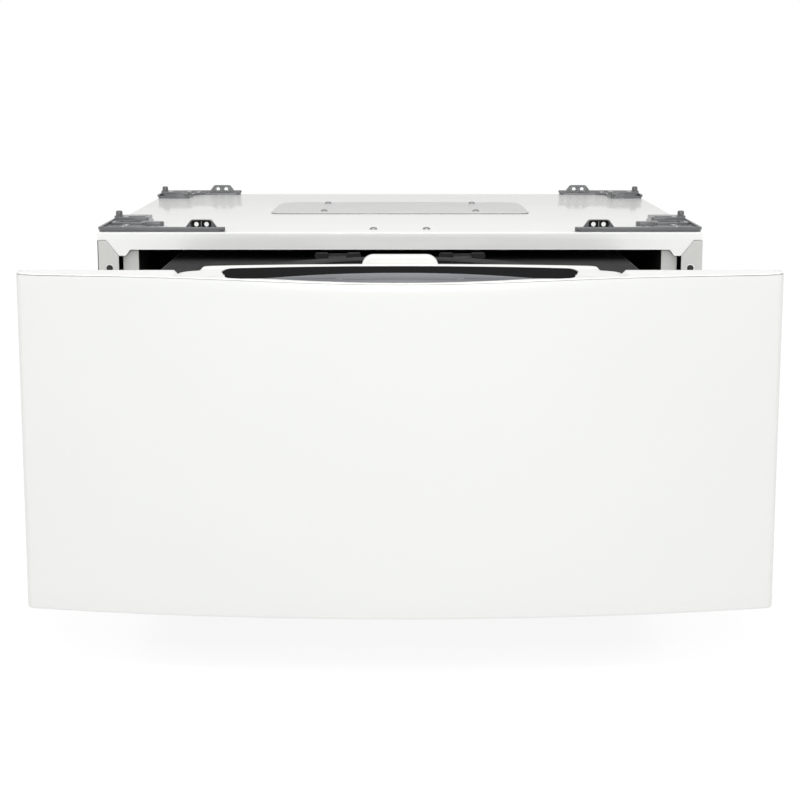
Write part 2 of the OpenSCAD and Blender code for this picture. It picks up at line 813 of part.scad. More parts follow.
module tub() color("gainsboro") {
    reach = sqrt(rod_x * rod_x + rod_dy * rod_dy);
    turn = atan2(rod_dy, rod_x);
    difference() {
        union() {
            at_tub() rotate_extrude($fn = 128) polygon([[0, tub_z], [tub_r - 12, tub_z],
                [tub_r, tub_z + 12], [tub_r, tub_top], [tub_r - tub_wall, tub_top],
                [tub_r - tub_wall, tub_z + 14], [tub_r - 14, tub_z + tub_wall],
                [0, tub_z + tub_wall]]);
            at_tub() translate([0, 0, stator_z]) cylinder(r = hub_r, h = basket_z - 6 - stator_z);
            at_tub() for (a = [turn, 180 - turn, 180 + turn, -turn]) rotate([0, 0, a])
                translate([tub_r - 3, -14, ear_z]) cube([reach + 14 - tub_r + 3, 28, ear_t]);
        }
        at_rods() cylinder(r = rod_r + 1, h = cabinet_h);
        at_pump() cylinder(r = 12, h = cabinet_h / 2);
        at_tub() {
            cylinder(r = sleeve_r + 3, h = cabinet_h / 2);
            translate([0, 0, stator_z - 1]) cylinder(r = bearing_r, h = bearing_h + 1);
            translate([0, 0, basket_z - 6 - seal_h - bearing_h])
                cylinder(r = bearing_r, h = seal_h + bearing_h + 1);
        }
    }
}

module tub_cover() color("gainsboro") at_tub() rotate_extrude($fn = 128)
    polygon([[mouth_r - 8, tub_top - 7], [mouth_r - 5, tub_top - 7], [mouth_r - 5, tub_top],
        [tub_r, tub_top], [tub_r, tub_top + cover_t], [mouth_r - 8, tub_top + cover_t]]);

module suspension_rods() color("silver") at_rods() {
    translate([0, 0, rod_foot_z]) cylinder(r = rod_r, h = shelf_z + 12 - rod_foot_z);
    translate([0, 0, rod_foot_z]) cylinder(r = 14, h = rod_foot_t);
    translate([0, 0, shelf_z + shelf_t]) cylinder(r = 9, h = 5);
}

module suspension_springs() color("darkgray") at_rods()
    translate([0, 0, rod_foot_z + rod_foot_t + 0.1])
        coil(9, 1.4, ear_z - rod_foot_z - rod_foot_t - 0.2, 8);

module shaft_bearings() color("silver") at_tub()
    for (z = [stator_z, basket_z - 6 - seal_h - bearing_h]) translate([0, 0, z])
        tube(bearing_r, sleeve_r + run_gap, bearing_h);

module shaft_seal() color("black") at_tub() translate([0, 0, basket_z - 6 - seal_h])
    tube(bearing_r, sleeve_r + run_gap, seal_h);

module motor_stator() color("goldenrod") at_tub() translate([0, 0, stator_z]) {
    tube(hub_r + 20, hub_r, stator_h);
    for (i = [0:poles - 1]) rotate([0, 0, 360 * i / poles]) {
        translate([hub_r + 19, -4, 3]) cube([rotor_r - 10 - hub_r - 19, 8, stator_h - 6]);
    }
}

module motor_rotor() color("silver") at_tub() difference() {
    translate([0, 0, rotor_z]) union() {
        cylinder(r = rotor_r, h = 2.5, $fn = 128);
        tube(rotor_r, rotor_r - 7, rotor_h);
        cylinder(r = 20, h = 5);
    }
    cylinder(r = shaft_r, h = cabinet_h / 2);
}

module drive_shaft() color("silver") at_tub() {
    translate([0, 0, rotor_z - nut_h]) cylinder(r = shaft_r, h = shaft_top - rotor_z + nut_h);
    translate([0, 0, rotor_z - nut_h]) cylinder(r = 13, h = nut_h, $fn = 6);
}

module drain_pump() color("white") at_pump() difference() {
    translate([0, 0, pump_z]) union() {
        cylinder(r = pump_r, h = tub_z - pump_z);
        translate([0, 0, tub_z - pump_z - 12]) rotate([0, 90, -pump_angle])
            rotate([-90, 0, 0]) cylinder(r = 8, h = pump_r + 26);
    }
    translate([0, 0, tub_z - 20]) cylinder(r = pump_r - 6, h = 16);
    translate([0, 0, pump_z + 3]) cylinder(r = pump_shaft_r + run_gap, h = tub_z - pump_z - 18);
    translate([0, 0, tub_z - 5]) cylinder(r = 12, h = 10);
    translate([0, 0, tub_z - 12]) rotate([0, 90, -pump_angle]) rotate([-90, 0, 0])
        cylinder(r = 5.5, h = 100);
}

module pump_impeller() color("white") at_pump() {
    translate([0, 0, pump_z + 4]) cylinder(r = pump_shaft_r, h = tub_z - 18 - pump_z);
    translate([0, 0, tub_z - 18]) {
        cylinder(r = 7, h = 11);
        cylinder(r = pump_r - 9, h = 2);
        for (i = [0:5]) rotate([0, 0, 60 * i]) translate([5, -1, 0]) cube([pump_r - 15, 2, 11]);
    }
}

// ---- basket and pulsator ----

module basket() color("silver") at_tub() {
    r = basket_r;
    difference() {
        rotate_extrude($fn = 128) polygon([[0, basket_z], [r - 16, basket_z], [r, basket_z + 16],
            [r, basket_top], [r - basket_wall, basket_top], [r - basket_wall, basket_z + 16.5],
            [r - 16.5, basket_z + basket_wall], [0, basket_z + basket_wall]]);
        cylinder(r = sleeve_r, h = cabinet_h / 2);
    }
}

module balance_ring() color("gray") at_tub() rotate_extrude($fn = 128) {
    r = basket_r - basket_wall;
    polygon([[mouth_r, basket_top - 20], [mouth_r + 6, basket_top - 25], [r, basket_top - 25],
        [r, basket_top + 1], [mouth_r + 4, basket_top + 1], [mouth_r, basket_top - 3]]);
}

module basket_shaft() color("silver") at_tub() difference() {
    union() {
        translate([0, 0, stator_z - 2]) cylinder(r = sleeve_r, h = basket_z + 2 - stator_z + 2);
        translate([0, 0, basket_z - 3]) cylinder(r = 55, h = 3);
    }
    cylinder(r = shaft_r + run_gap, h = cabinet_h);
}

module pulsator() color("white") at_tub() {
    z0 = basket_z + basket_wall + 2;
    r = basket_r - 54;
    difference() {
        union() {
            rotate_extrude($fn = 128) polygon([[0, z0], [r, z0], [r, z0 + 5], [r - 6, z0 + 8],
                [60, z0 + 9], [34, z0 + 20], [0, z0 + 24]]);
            for (i = [0:5]) rotate([0, 0, 60 * i]) translate([20, -4, z0 + 2])
                cube([r - 30, 8, 15]);
        }
        cylinder(r = shaft_r, h = shaft_top);
        translate([0, 0, z0 - 1]) cylinder(r = sleeve_r + 2, h = 2);
    }
}

place() top_panel();
place() left_side_panel();
place() right_side_panel();
place() back_panel();
place() base_pan();
place() front_rail();
place() top_braces();
place() left_slide_support();
place() right_slide_support();
place() left_slide_outer();
place() right_slide_outer();
place() left_slide_middle();
place() right_slide_middle();
place() left_slide_inner();
place() right_slide_inner();
place() corner_bracket(0, 0);  // bracket_front_left
place() corner_bracket(1, 0);  // bracket_front_right
place() corner_bracket(0, 1);  // bracket_rear_left
place() corner_bracket(1, 1);  // bracket_rear_right
place() service_cover();
place() top_screws();
place() post_plugs();
place() inlet_valve();
place() drain_spigot();
place() cord_gland();
place() control_box();
place() foot(-foot_x, foot_front);  // foot_front_left
place() foot(foot_x, foot_front);  // foot_front_right
place() foot(-foot_x, foot_rear);  // foot_rear_left
place() foot(foot_x, foot_rear);  // foot_rear_right
place() foot_lock_nuts();
place() front_skin();
place() front_backplate();
place() top_cap();
place() control_glass();
place() lid_button();
place() button_spring();
place() drawer_deck();
place() drawer_left_side();
place() drawer_right_side();
place() drawer_rear_wall();
place() drawer_cross_rails();
place() lid_frame();
place() lid_window();
place() lid_hinge_pins();
place() tub();
place() tub_cover();
place() suspension_rods();
place() suspension_springs();
place() motor_stator();
place() motor_rotor();
place() drive_shaft();
place() shaft_bearings();
place() shaft_seal();
place() basket();
place() balance_ring();
place() basket_shaft();
place() pulsator();
place() drain_pump();
place() pump_impeller();
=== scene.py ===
"""Pedestal washer: a white drawer washer that stands under a front load machine.

The pieces are made in the order in which the machine is put together, from the cabinet
on its feet to the front of the drawer. Lengths are in metres unless a name ends in _mm.
"""
import json
import math

import bmesh
import bpy
from mathutils import Matrix, Vector
from mathutils.geometry import delaunay_2d_cdt


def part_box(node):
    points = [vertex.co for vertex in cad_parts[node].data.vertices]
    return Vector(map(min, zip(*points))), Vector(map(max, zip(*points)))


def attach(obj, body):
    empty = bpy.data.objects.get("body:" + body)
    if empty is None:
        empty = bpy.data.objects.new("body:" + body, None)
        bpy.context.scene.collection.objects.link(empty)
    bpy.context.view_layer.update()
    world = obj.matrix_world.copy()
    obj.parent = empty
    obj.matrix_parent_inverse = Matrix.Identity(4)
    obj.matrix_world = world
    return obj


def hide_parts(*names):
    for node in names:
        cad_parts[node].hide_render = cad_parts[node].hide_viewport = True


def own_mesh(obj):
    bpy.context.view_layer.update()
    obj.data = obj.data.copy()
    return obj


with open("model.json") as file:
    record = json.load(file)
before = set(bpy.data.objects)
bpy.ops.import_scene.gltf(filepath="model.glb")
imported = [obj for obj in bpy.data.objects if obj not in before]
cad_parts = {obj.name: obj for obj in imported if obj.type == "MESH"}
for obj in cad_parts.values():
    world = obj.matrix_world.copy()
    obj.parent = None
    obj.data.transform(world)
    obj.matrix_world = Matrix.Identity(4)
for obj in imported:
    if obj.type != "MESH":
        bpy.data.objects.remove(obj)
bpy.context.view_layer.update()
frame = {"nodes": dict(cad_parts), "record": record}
scene = bpy.context.scene
mm = 0.001

# ---------------------------------------------------------------------------
# Studio: a low viewpoint straight in front of the machine, a white floor that
# runs into a white background, and large soft lamps in front and above.
# ---------------------------------------------------------------------------
cabinet_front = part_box("top_panel")[0].y
cabinet_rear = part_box("back_panel")[1].y
cabinet_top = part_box("top_panel")[1].z

camera_stands_off, camera_above_top, camera_tilt_deg, lens_mm = 2.102, 0.188, 10.28, 83.57
camera = bpy.data.objects.new("camera", bpy.data.cameras.new("camera"))
camera.data.lens = lens_mm
camera.data.sensor_width = 36
camera.data.clip_end = 50
camera.location = (0, cabinet_front - camera_stands_off, cabinet_top + camera_above_top)
camera.rotation_euler = (math.radians(90 - camera_tilt_deg), 0, 0)
scene.collection.objects.link(camera)
scene.camera = camera
scene.view_settings.view_transform = "Standard"


def linear(hexa):
    """A colour such as "F2F2F0", in sRGB, as the linear RGBA that Blender works in."""
    parts = [int(hexa[i:i + 2], 16) / 255 for i in (0, 2, 4)]
    return [p / 12.92 if p <= 0.04045 else ((p + 0.055) / 1.055) ** 2.4 for p in parts] + [1]


def add(tree, kind, inputs=None, **settings):
    """Adds one node. An input is given a value, or the socket that feeds it."""
    made = tree.nodes.new(kind)
    for name, value in settings.items():
        setattr(made, name, value)
    for name, value in (inputs or {}).items():
        if isinstance(value, bpy.types.NodeSocket):
            tree.links.new(value, made.inputs[name])
        else:
            made.inputs[name].default_value = value
    return made


def softbox(name, where, aim, width, height, watts):
    """A rectangular lamp with a diffuser, pointed at aim."""
    lamp = bpy.data.objects.new(name, bpy.data.lights.new(name, "AREA"))
    lamp.data.shape = "RECTANGLE"
    lamp.data.size, lamp.data.size_y = width, height
    lamp.data.energy = watts
    lamp.location = where
    lamp.rotation_euler = (Vector(aim) - Vector(where)).to_track_quat("-Z", "Y").to_euler()
    scene.collection.objects.link(lamp)


softbox("front_softbox", (0, -3.3, 1.3), (0, -0.3, 0.25), 1.4, 1.2, 20)
softbox("near_softbox", (0, -1.75, 1.0), (0, -0.6, 0.22), 0.5, 0.4, 2.4)
softbox("top_softbox", (0, -0.9, 2.5), (0, 0.0, 0.3), 2.0, 1.6, 19)
softbox("left_softbox", (-2.6, -1.2, 1.3), (0, -0.1, 0.25), 1.4, 1.6, 0.5)
softbox("right_softbox", (2.6, -1.2, 1.3), (0, -0.1, 0.25), 1.4, 1.6, 0.5)

world = bpy.data.worlds.new("studio")
world.use_nodes = True
world.node_tree.nodes["Background"].inputs["Color"].default_value = (1, 1, 1, 1)
sky = world.node_tree.nodes["Background"]
# The backdrop shows white, and its light on the machine is held a little below that.
seen = add(world.node_tree, "ShaderNodeLightPath").outputs["Is Camera Ray"]
level = add(world.node_tree, "ShaderNodeMapRange", {"Value": seen, "To Min": 0.77, "To Max": 1.0})
world.node_tree.links.new(level.outputs["Result"], sky.inputs["Strength"])
scene.world = world


def floor_paper():
    """A matt acrylic table lit from below, so that it stays white under the machine."""
    paper = bpy.data.materials.new("lit_acrylic_table")
    paper.use_nodes = True
    shader = paper.node_tree.nodes["Principled BSDF"]
    shader.inputs["Base Color"].default_value = linear("707070")
    shader.inputs["Roughness"].default_value = 0.9
    shader.inputs["Specular IOR Level"].default_value = 0.0
    shader.inputs["Emission Color"].default_value = linear("FFFFFF")
    shader.inputs["Emission Strength"].default_value = 0.88
    return paper


def object_from(name, bm, *materials):
    """A finished bmesh as an object, with its place in its mesh."""
    mesh = bpy.data.meshes.new(name)
    bm.to_mesh(mesh)
    bm.free()
    for material in materials:
        mesh.materials.append(material)
    made = bpy.data.objects.new(name, mesh)
    scene.collection.objects.link(made)
    return made


bm = bmesh.new()
bmesh.ops.create_grid(bm, x_segments=8, y_segments=8, size=9)
object_from("studio_floor", bm, floor_paper())

# ---------------------------------------------------------------------------
# Cabinet shell: folded and welded steel sheet, 1.2 mm thick, dipped and baked in
# white enamel. The folds have small radii, and the lacquer levels to a faint ripple.
# ---------------------------------------------------------------------------
sheet_t = 1.2 * mm
half_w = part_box("top_panel")[1].x
flange_h = 20 * mm
post_w = 24 * mm
home = {node: body for body, nodes in frame["record"]["behaviour"]["bodies"].items() for node in nodes}


def coating(name, colour, roughness, metallic=0.0, coat=0.0, ripple_mm=0.0, ripple=0.0,
            cloud_mm=0.0, cloud=0.0, stretch=(1, 1, 1)):
    """A surface with a base colour that drifts over cloud_mm and a relief of ripple_mm."""
    material = bpy.data.materials.new(name)
    material.use_nodes = True
    tree = material.node_tree
    shader = tree.nodes["Principled BSDF"]
    shader.inputs["Base Color"].default_value = linear(colour)
    shader.inputs["Metallic"].default_value = metallic
    shader.inputs["Roughness"].default_value = roughness
    shader.inputs["Coat Weight"].default_value = coat
    shader.inputs["Coat Roughness"].default_value = 0.06
    place = add(tree, "ShaderNodeTexCoord").outputs["Object"]
    place = add(tree, "ShaderNodeMapping", {"Vector": place, "Scale": stretch}).outputs["Vector"]
    if cloud:
        drift = add(tree, "ShaderNodeTexNoise",
                    {"Vector": place, "Scale": 1000 / cloud_mm, "Detail": 4.0}).outputs["Fac"]
        shade = [c * (1 - cloud) for c in linear(colour)[:3]] + [1]
        ramp = add(tree, "ShaderNodeValToRGB", {"Fac": drift})
        ramp.color_ramp.elements[0].position = 0.35
        ramp.color_ramp.elements[0].color = shade
        ramp.color_ramp.elements[1].position = 0.65
        ramp.color_ramp.elements[1].color = linear(colour)
        tree.links.new(ramp.outputs["Color"], shader.inputs["Base Color"])
        rough = add(tree, "ShaderNodeMapRange", {"Value": drift, "To Min": roughness * 0.85,
                                                 "To Max": min(1.0, roughness * 1.2)})
        tree.links.new(rough.outputs["Result"], shader.inputs["Roughness"])
    if ripple:
        height = add(tree, "ShaderNodeTexNoise",
                     {"Vector": place, "Scale": 1000 / ripple_mm, "Detail": 3.0}).outputs["Fac"]
        bump = add(tree, "ShaderNodeBump", {"Height": height, "Strength": ripple, "Distance": 0.0004})
        tree.links.new(bump.outputs["Normal"], shader.inputs["Normal"])
    return material


# Baked enamel: a hard white gloss with the slight orange peel of sprayed lacquer.
enamel = coating("baked_white_enamel", "F0F1EE", 0.24, coat=0.35, ripple_mm=5, ripple=0.05,
                 cloud_mm=160, cloud=0.015)


def belongs(piece, *nodes):
    """The piece stands for these CAD nodes: it rides where they do and has their finish."""
    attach(piece, home[nodes[0]])
    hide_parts(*nodes)
    return piece


def smooth(piece, degrees=32):
    """Shades a mesh smooth except over edges sharper than this."""
    piece.data.shade_smooth()
    piece.data.set_sharp_from_angle(angle=math.radians(degrees))
    return piece


def folded_sheet(name, panels, material, thickness=sheet_t, fold_r=2.2 * mm):
    """Sheet metal: flat panels that share edges, with a radius at each fold."""
    bm = bmesh.new()
    for panel in panels:
        bm.faces.new([bm.verts.new(p) for p in panel])
    bmesh.ops.remove_doubles(bm, verts=bm.verts, dist=1e-5)
    folds = [e for e in bm.edges if len(e.link_faces) == 2 and e.calc_face_angle() > 0.3]
    bmesh.ops.bevel(bm, geom=folds, offset=fold_r, segments=5, profile=0.5, affect="EDGES")
    bmesh.ops.solidify(bm, geom=bm.faces[:], thickness=thickness)
    bmesh.ops.recalc_face_normals(bm, faces=bm.faces[:])
    return smooth(object_from(name, bm, material))


def mirrored(points):
    """The same outline on the other side of the machine, still turning the same way."""
    return [(-p[0], *p[1:]) for p in reversed(points)]


top_z = cabinet_top
gusset_z = top_z - 27 * mm
flange_z = top_z - flange_h
mitre_z = top_z - 9 * mm
mitre_x = half_w - 10 * mm
post_x = half_w - post_w


def s_curve(x0, z0, x1, z1, steps=8):
    """Points on a soft step from one height to another."""
    eased = [(i / steps, 0.5 - 0.5 * math.cos(math.pi * i / steps)) for i in range(1, steps)]
    return [(x0 + (x1 - x0) * t, z0 + (z1 - z0) * e) for t, e in eased]


step_from, step_to = half_w - 38 * mm, half_w - 31 * mm
flange_right = [(step_from, flange_z), *s_curve(step_from, flange_z, step_to, gusset_z), (step_to, gusset_z),
                (post_x, gusset_z), (mitre_x, mitre_z), (half_w, mitre_z)]
flange_line = [(half_w, top_z), (-half_w, top_z), *[(-x, z) for x, z in reversed(flange_right)],
               *flange_right]
lip_z = top_z - 14 * mm
front, rear = cabinet_front, cabinet_rear
top_panel = folded_sheet("top_panel_enamelled", [
    [(-half_w, front, top_z), (half_w, front, top_z), (half_w, rear, top_z), (-half_w, rear, top_z)],
    [(x, front, z) for x, z in flange_line],
    [(half_w, front, top_z), (half_w, front, mitre_z), (half_w, rear, lip_z), (half_w, rear, top_z)],
    [(-half_w, front, top_z), (-half_w, rear, top_z), (-half_w, rear, lip_z), (-half_w, front, mitre_z)],
    [(half_w, rear, top_z), (half_w, rear, lip_z), (-half_w, rear, lip_z), (-half_w, rear, top_z)],
], enamel)
belongs(top_panel, "top_panel")

# The side panels and their front posts take a darker grey copy of the white enamel: painted shade for the
# same white sheet where it stands in shade.
shaded_side_enamel = coating("side_enamel_with_painted_shade", "CACBC7", 0.3, coat=0.2, ripple_mm=5, ripple=0.05, cloud_mm=160,
                      cloud=0.015)
base_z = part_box("left_side_panel")[0].z
side_top = lip_z - 0.5 * mm
seam = 0.45 * mm
for side, node in ((1, "right_side_panel"), (-1, "left_side_panel")):
    post = [(half_w, base_z), (half_w, mitre_z - seam), (mitre_x - seam / 2, mitre_z - seam),
            (post_x, gusset_z - seam), (post_x, base_z)]
    panels = [
        [(half_w, front, base_z), (half_w, rear, base_z), (half_w, rear, side_top),
         (half_w, front, mitre_z - seam)],
        [(x, front, z) for x, z in reversed(post)],
        [(half_w, rear, base_z), (half_w - 14 * mm, rear, base_z), (half_w - 14 * mm, rear, side_top),
         (half_w, rear, side_top)],
    ]
    if side < 0:
        panels = [mirrored(panel) for panel in panels]
    belongs(folded_sheet(node + "_enamelled", panels, shaded_side_enamel), node)


def islands(node):
    """The lowest and highest corner of each separate solid in a CAD node."""
    bm = bmesh.new()
    bm.from_mesh(frame["nodes"][node].data)
    bmesh.ops.remove_doubles(bm, verts=bm.verts, dist=1e-6)
    left, found = set(bm.verts), []
    while left:
        group, stack = [], [left.pop()]
        while stack:
            v = stack.pop()
            group.append(v.co.copy())
            for e in v.link_edges:
                o = e.other_vert(v)
                if o in left:
                    left.discard(o)
                    stack.append(o)
        found.append([Vector(f(c[i] for c in group) for i in range(3)) for f in (min, max)])
    bm.free()
    return sorted(found, key=lambda b: (round(b[0].x, 4), round(b[0].y, 4)))


def softened(node, material, width_mm=0.8, segments=2, degrees=32):
    """A copy of a CAD node with its sharp edges rounded, as pressed or moulded ones are."""
    piece = frame["nodes"][node].copy()
    piece.data = piece.data.copy()
    piece.name = node + "_made"
    piece.parent = None
    for key in list(piece.keys()):
        del piece[key]
    scene.collection.objects.link(piece)
    bm = bmesh.new()
    bm.from_mesh(piece.data)
    bmesh.ops.remove_doubles(bm, verts=bm.verts, dist=1e-6)
    bmesh.ops.dissolve_limit(bm, angle_limit=math.radians(0.5), verts=bm.verts, edges=bm.edges)
    bm.to_mesh(piece.data)
    bm.free()
    bevel = piece.modifiers.new("edges", "BEVEL")
    bevel.width = width_mm * mm
    bevel.segments = segments
    bevel.angle_limit = math.radians(degrees)
    bevel.harden_normals = False
    applied(piece)
    piece.data.materials.clear()
    piece.data.materials.append(material)
    return belongs(smooth(piece), node)


def applied(piece):
    """Turns a piece's modifiers into plain mesh."""
    graph = bpy.context.evaluated_depsgraph_get()
    graph.update()
    mesh = bpy.data.meshes.new_from_object(piece.evaluated_get(graph))
    piece.modifiers.clear()
    piece.data = mesh
    return piece


# Hot dip galvanised sheet: bluish grey zinc with large soft crystals.
galvanised = coating("galvanised_sheet", "A9ACAF", 0.42, metallic=0.85, ripple_mm=3, ripple=0.05,
                     cloud_mm=9, cloud=0.28)
softened("back_panel", galvanised, 0.3)
softened("base_pan", galvanised, 0.6)
softened("front_rail", galvanised, 0.6)
softened("top_braces", galvanised, 0.6)
# The slide supports are galvanised too, and sprayed white with the shell. Their white is set darker than the
# shell's: painted shade, as they stand back in the opening.
shaded_white_steel = coating("sprayed_white_with_painted_shade", "BFC0BC", 0.4, ripple_mm=2, ripple=0.08,
                      cloud_mm=60, cloud=0.03)
# The faces of each support that look towards the drawer are painted near black: painted shade for the dark
# inside of the cabinet.
inner_face_shade_black = coating("inner_face_painted_shade", "1A1A1B", 0.6, ripple_mm=1.2, ripple=0.1, cloud_mm=50, cloud=0.2)
for node, way in (("left_slide_support", 1), ("right_slide_support", -1)):
    piece = softened(node, shaded_white_steel, 0.5)
    piece.data.materials.append(inner_face_shade_black)
    for polygon in piece.data.polygons:
        if polygon.normal.x * way > 0.7:
            polygon.material_index = 1

# ---------------------------------------------------------------------------
# Slides: three nested members on each side, roll formed from steel strip and dipped in
# black paint. The forming rolls leave fine lines along their length.
# ---------------------------------------------------------------------------
dipped_black = coating("black_dipped_strip", "242426", 0.5, ripple_mm=0.7, ripple=0.12,
                       cloud_mm=25, cloud=0.2, stretch=(1, 0.04, 1))
for member in ("outer", "middle", "inner"):
    for hand in ("left", "right"):
        softened(f"{hand}_slide_{member}", dipped_black, 0.4)

# ---------------------------------------------------------------------------
# Corner brackets: pressed steel plates, powder coated mid grey, one at each corner of
# the top. Each has an edge rail, a block with a slot, a locating knob and an upright
# tab with two screw holes in a pocket.
# ---------------------------------------------------------------------------
def powder_coat(name, colour):
    """Powder coat: a fine even grain, with a painted highlight of paler grey along sharp convex edges."""
    material = coating(name, colour, 0.3, coat=0.4, ripple_mm=0.9, ripple=0.06, cloud_mm=22, cloud=0.1)
    tree = material.node_tree
    shader = tree.nodes["Principled BSDF"]
    old = shader.inputs["Base Color"].links[0].from_socket
    edge_highlight = add(tree, "ShaderNodeMapRange", {"Value": add(tree, "ShaderNodeNewGeometry").outputs["Pointiness"],
                                            "From Min": 0.58, "From Max": 0.70}).outputs["Result"]
    mix = add(tree, "ShaderNodeMix", {"Factor": edge_highlight}, data_type="RGBA")
    tree.links.new(old, mix.inputs[6])
    mix.inputs[7].default_value = linear("8E8F91")
    tree.links.new(mix.outputs[2], shader.inputs["Base Color"])
    return material


bracket_grey = powder_coat("powder_coated_grey_steel", "606163")
# The floors of the pocket and the slot are painted near black: painted shade for these recesses.
recess_shade_black = coating("recess_painted_shade", "1B1B1C", 0.95, ripple_mm=0.6, ripple=0.5, cloud_mm=3, cloud=0.4)


def arc(cx, cy, r, from_deg, to_deg, steps=10):
    """Points on a circular arc, both ends included."""
    turn = [math.radians(from_deg + (to_deg - from_deg) * i / steps) for i in range(steps + 1)]
    return [(cx + r * math.cos(a), cy + r * math.sin(a)) for a in turn]


def round_rect(x0, y0, x1, y1, r, steps=6):
    """A rectangle with round corners, turning left."""
    return [*arc(x1 - r, y0 + r, r, -90, 0, steps), *arc(x1 - r, y1 - r, r, 0, 90, steps),
            *arc(x0 + r, y1 - r, r, 90, 180, steps), *arc(x0 + r, y0 + r, r, 180, 270, steps)]


def ring_offset(loop, distance):
    """A closed outline moved to its left by distance, which is inwards when it turns left."""
    moved = []
    count = len(loop)
    for i, p in enumerate(loop):
        a, b = loop[i - 1], loop[(i + 1) % count]
        before = Vector((p[0] - a[0], p[1] - a[1])).normalized()
        after = Vector((b[0] - p[0], b[1] - p[1])).normalized()
        normal = Vector((-(before + after).y, (before + after).x))
        if normal.length < 1e-6:
            normal = Vector((-before.y, before.x))
        normal.normalize()
        reach = distance / max(0.35, normal.dot(Vector((-before.y, before.x))))
        moved.append((p[0] + normal.x * reach, p[1] + normal.y * reach))
    return moved


def inside(p, loop):
    """True where a point lies inside a closed outline."""
    hit = False
    for (x0, y0), (x1, y1) in zip(loop, loop[1:] + loop[:1]):
        if (y0 > p[1]) != (y1 > p[1]) and p[0] < (x1 - x0) * (p[1] - y0) / (y1 - y0) + x0:
            hit = not hit
    return hit


def filled(outer, holes, grid):
    """Triangles between an outline and its holes, with inner points every grid metres."""
    loops = [outer, *holes]
    points, edges = [], []
    for loop in loops:
        start = len(points)
        points += [Vector(p) for p in loop]
        edges += [(start + i, start + (i + 1) % len(loop)) for i in range(len(loop))]
    ring_count = len(points)
    if grid:
        xs, ys = [p[0] for p in outer], [p[1] for p in outer]
        near = grid * 0.6
        for i in range(1, int((max(xs) - min(xs)) / grid)):
            for j in range(1, int((max(ys) - min(ys)) / grid) + 1):
                p = (min(xs) + i * grid, min(ys) + j * grid)
                if inside(p, outer) and not any(inside(p, h) for h in holes):
                    if all((Vector(p) - q).length > near for q in points[:ring_count]):
                        points.append(Vector(p))
    found = delaunay_2d_cdt(points, edges, [], 0, 1e-7)
    verts, faces = [tuple(v) for v in found[0]], found[2]
    kept = []
    for face in faces:
        c = [sum(verts[i][k] for i in face) / len(face) for k in (0, 1)]
        if inside(c, outer) and not any(inside(c, h) for h in holes):
            kept.append(face)
    return verts, kept


def slab(bm, outer, holes, z0, z1, edge_r=0.0, place=Matrix.Identity(4), steps=3, grid=0.0,
         surface=None, under=None, slot=0, hole_slot=None):
    """A plate between z0 and z1, turned over a radius at its top edges. surface(x, y) and
    under(x, y) lift or lower the two faces, and a grid of points carries the upper shape."""
    surface = surface or (lambda x, y: 0.0)
    under = under or (lambda x, y: 0.0)
    top_outer = ring_offset(outer, edge_r) if edge_r else outer
    top_holes = [ring_offset(h, -edge_r) if edge_r else h for h in holes]
    made = {}

    def vert(x, y, z):
        key = (round(x, 7), round(y, 7), round(z, 7))
        if key not in made:
            made[key] = bm.verts.new(place @ Vector((x, y, z)))
        return made[key]

    faces = []

    def face(corners):
        corners = [c for i, c in enumerate(corners) if c is not corners[i - 1]]
        if len(set(corners)) > 2:
            try:
                faces.append(bm.faces.new(corners))
            except ValueError:
                pass

    points, tris = filled(top_outer, top_holes, grid)
    for tri in tris:
        face([vert(*points[i], z1 + surface(*points[i])) for i in tri])
    lining = []
    for loop, way in [(outer, 1), *[(h, -1) for h in holes]]:
        rings, before = [], len(faces)
        for k in range(steps + 1 if edge_r else 1):
            a = math.radians(90 * k / steps) if edge_r else 0
            inset = edge_r * (1 - math.sin(a))
            line = ring_offset(loop, way * inset) if inset > 1e-7 else loop
            rings.append([(x, y, z1 + surface(x, y) - edge_r * (1 - math.cos(a))) for x, y in line])
        rings.append([(x, y, z0 + under(x, y)) for x, y in loop])
        for upper, lower in zip(rings, rings[1:]):
            for i in range(len(loop)):
                j = (i + 1) % len(loop)
                face([vert(*upper[i]), vert(*lower[i]), vert(*lower[j]), vert(*upper[j])])
        if way < 0:
            lining += faces[before:]
    points, tris = filled(outer, holes, 0)
    for tri in tris:
        face([vert(*points[i], z0 + under(*points[i])) for i in reversed(tri)])
    bmesh.ops.recalc_face_normals(bm, faces=faces)
    for f in faces:
        f.material_index = slot
    for f in lining:
        f.material_index = slot if hole_slot is None else hole_slot
    return faces


def lathe(bm, profile, place=Matrix.Identity(4), steps=32, slot=0):
    """A turned shape from (radius, height) points, which start and end on the axis or join."""
    rings = []
    for r, z in profile:
        if r < 1e-7:
            rings.append([bm.verts.new(place @ Vector((0, 0, z)))])
        else:
            rings.append([bm.verts.new(place @ Vector((r * math.cos(2 * math.pi * i / steps),
                                                       r * math.sin(2 * math.pi * i / steps), z)))
                          for i in range(steps)])
    faces = []
    for a, b in zip(rings, rings[1:]):
        for i in range(steps):
            j = (i + 1) % steps
            corners = [a[i % len(a)], a[j % len(a)], b[j % len(b)], b[i % len(b)]]
            corners = [c for k, c in enumerate(corners) if c is not corners[k - 1]]
            if len(corners) > 2:
                faces.append(bm.faces.new(corners))
    bmesh.ops.recalc_face_normals(bm, faces=faces)
    for f in faces:
        f.material_index = slot
    return faces


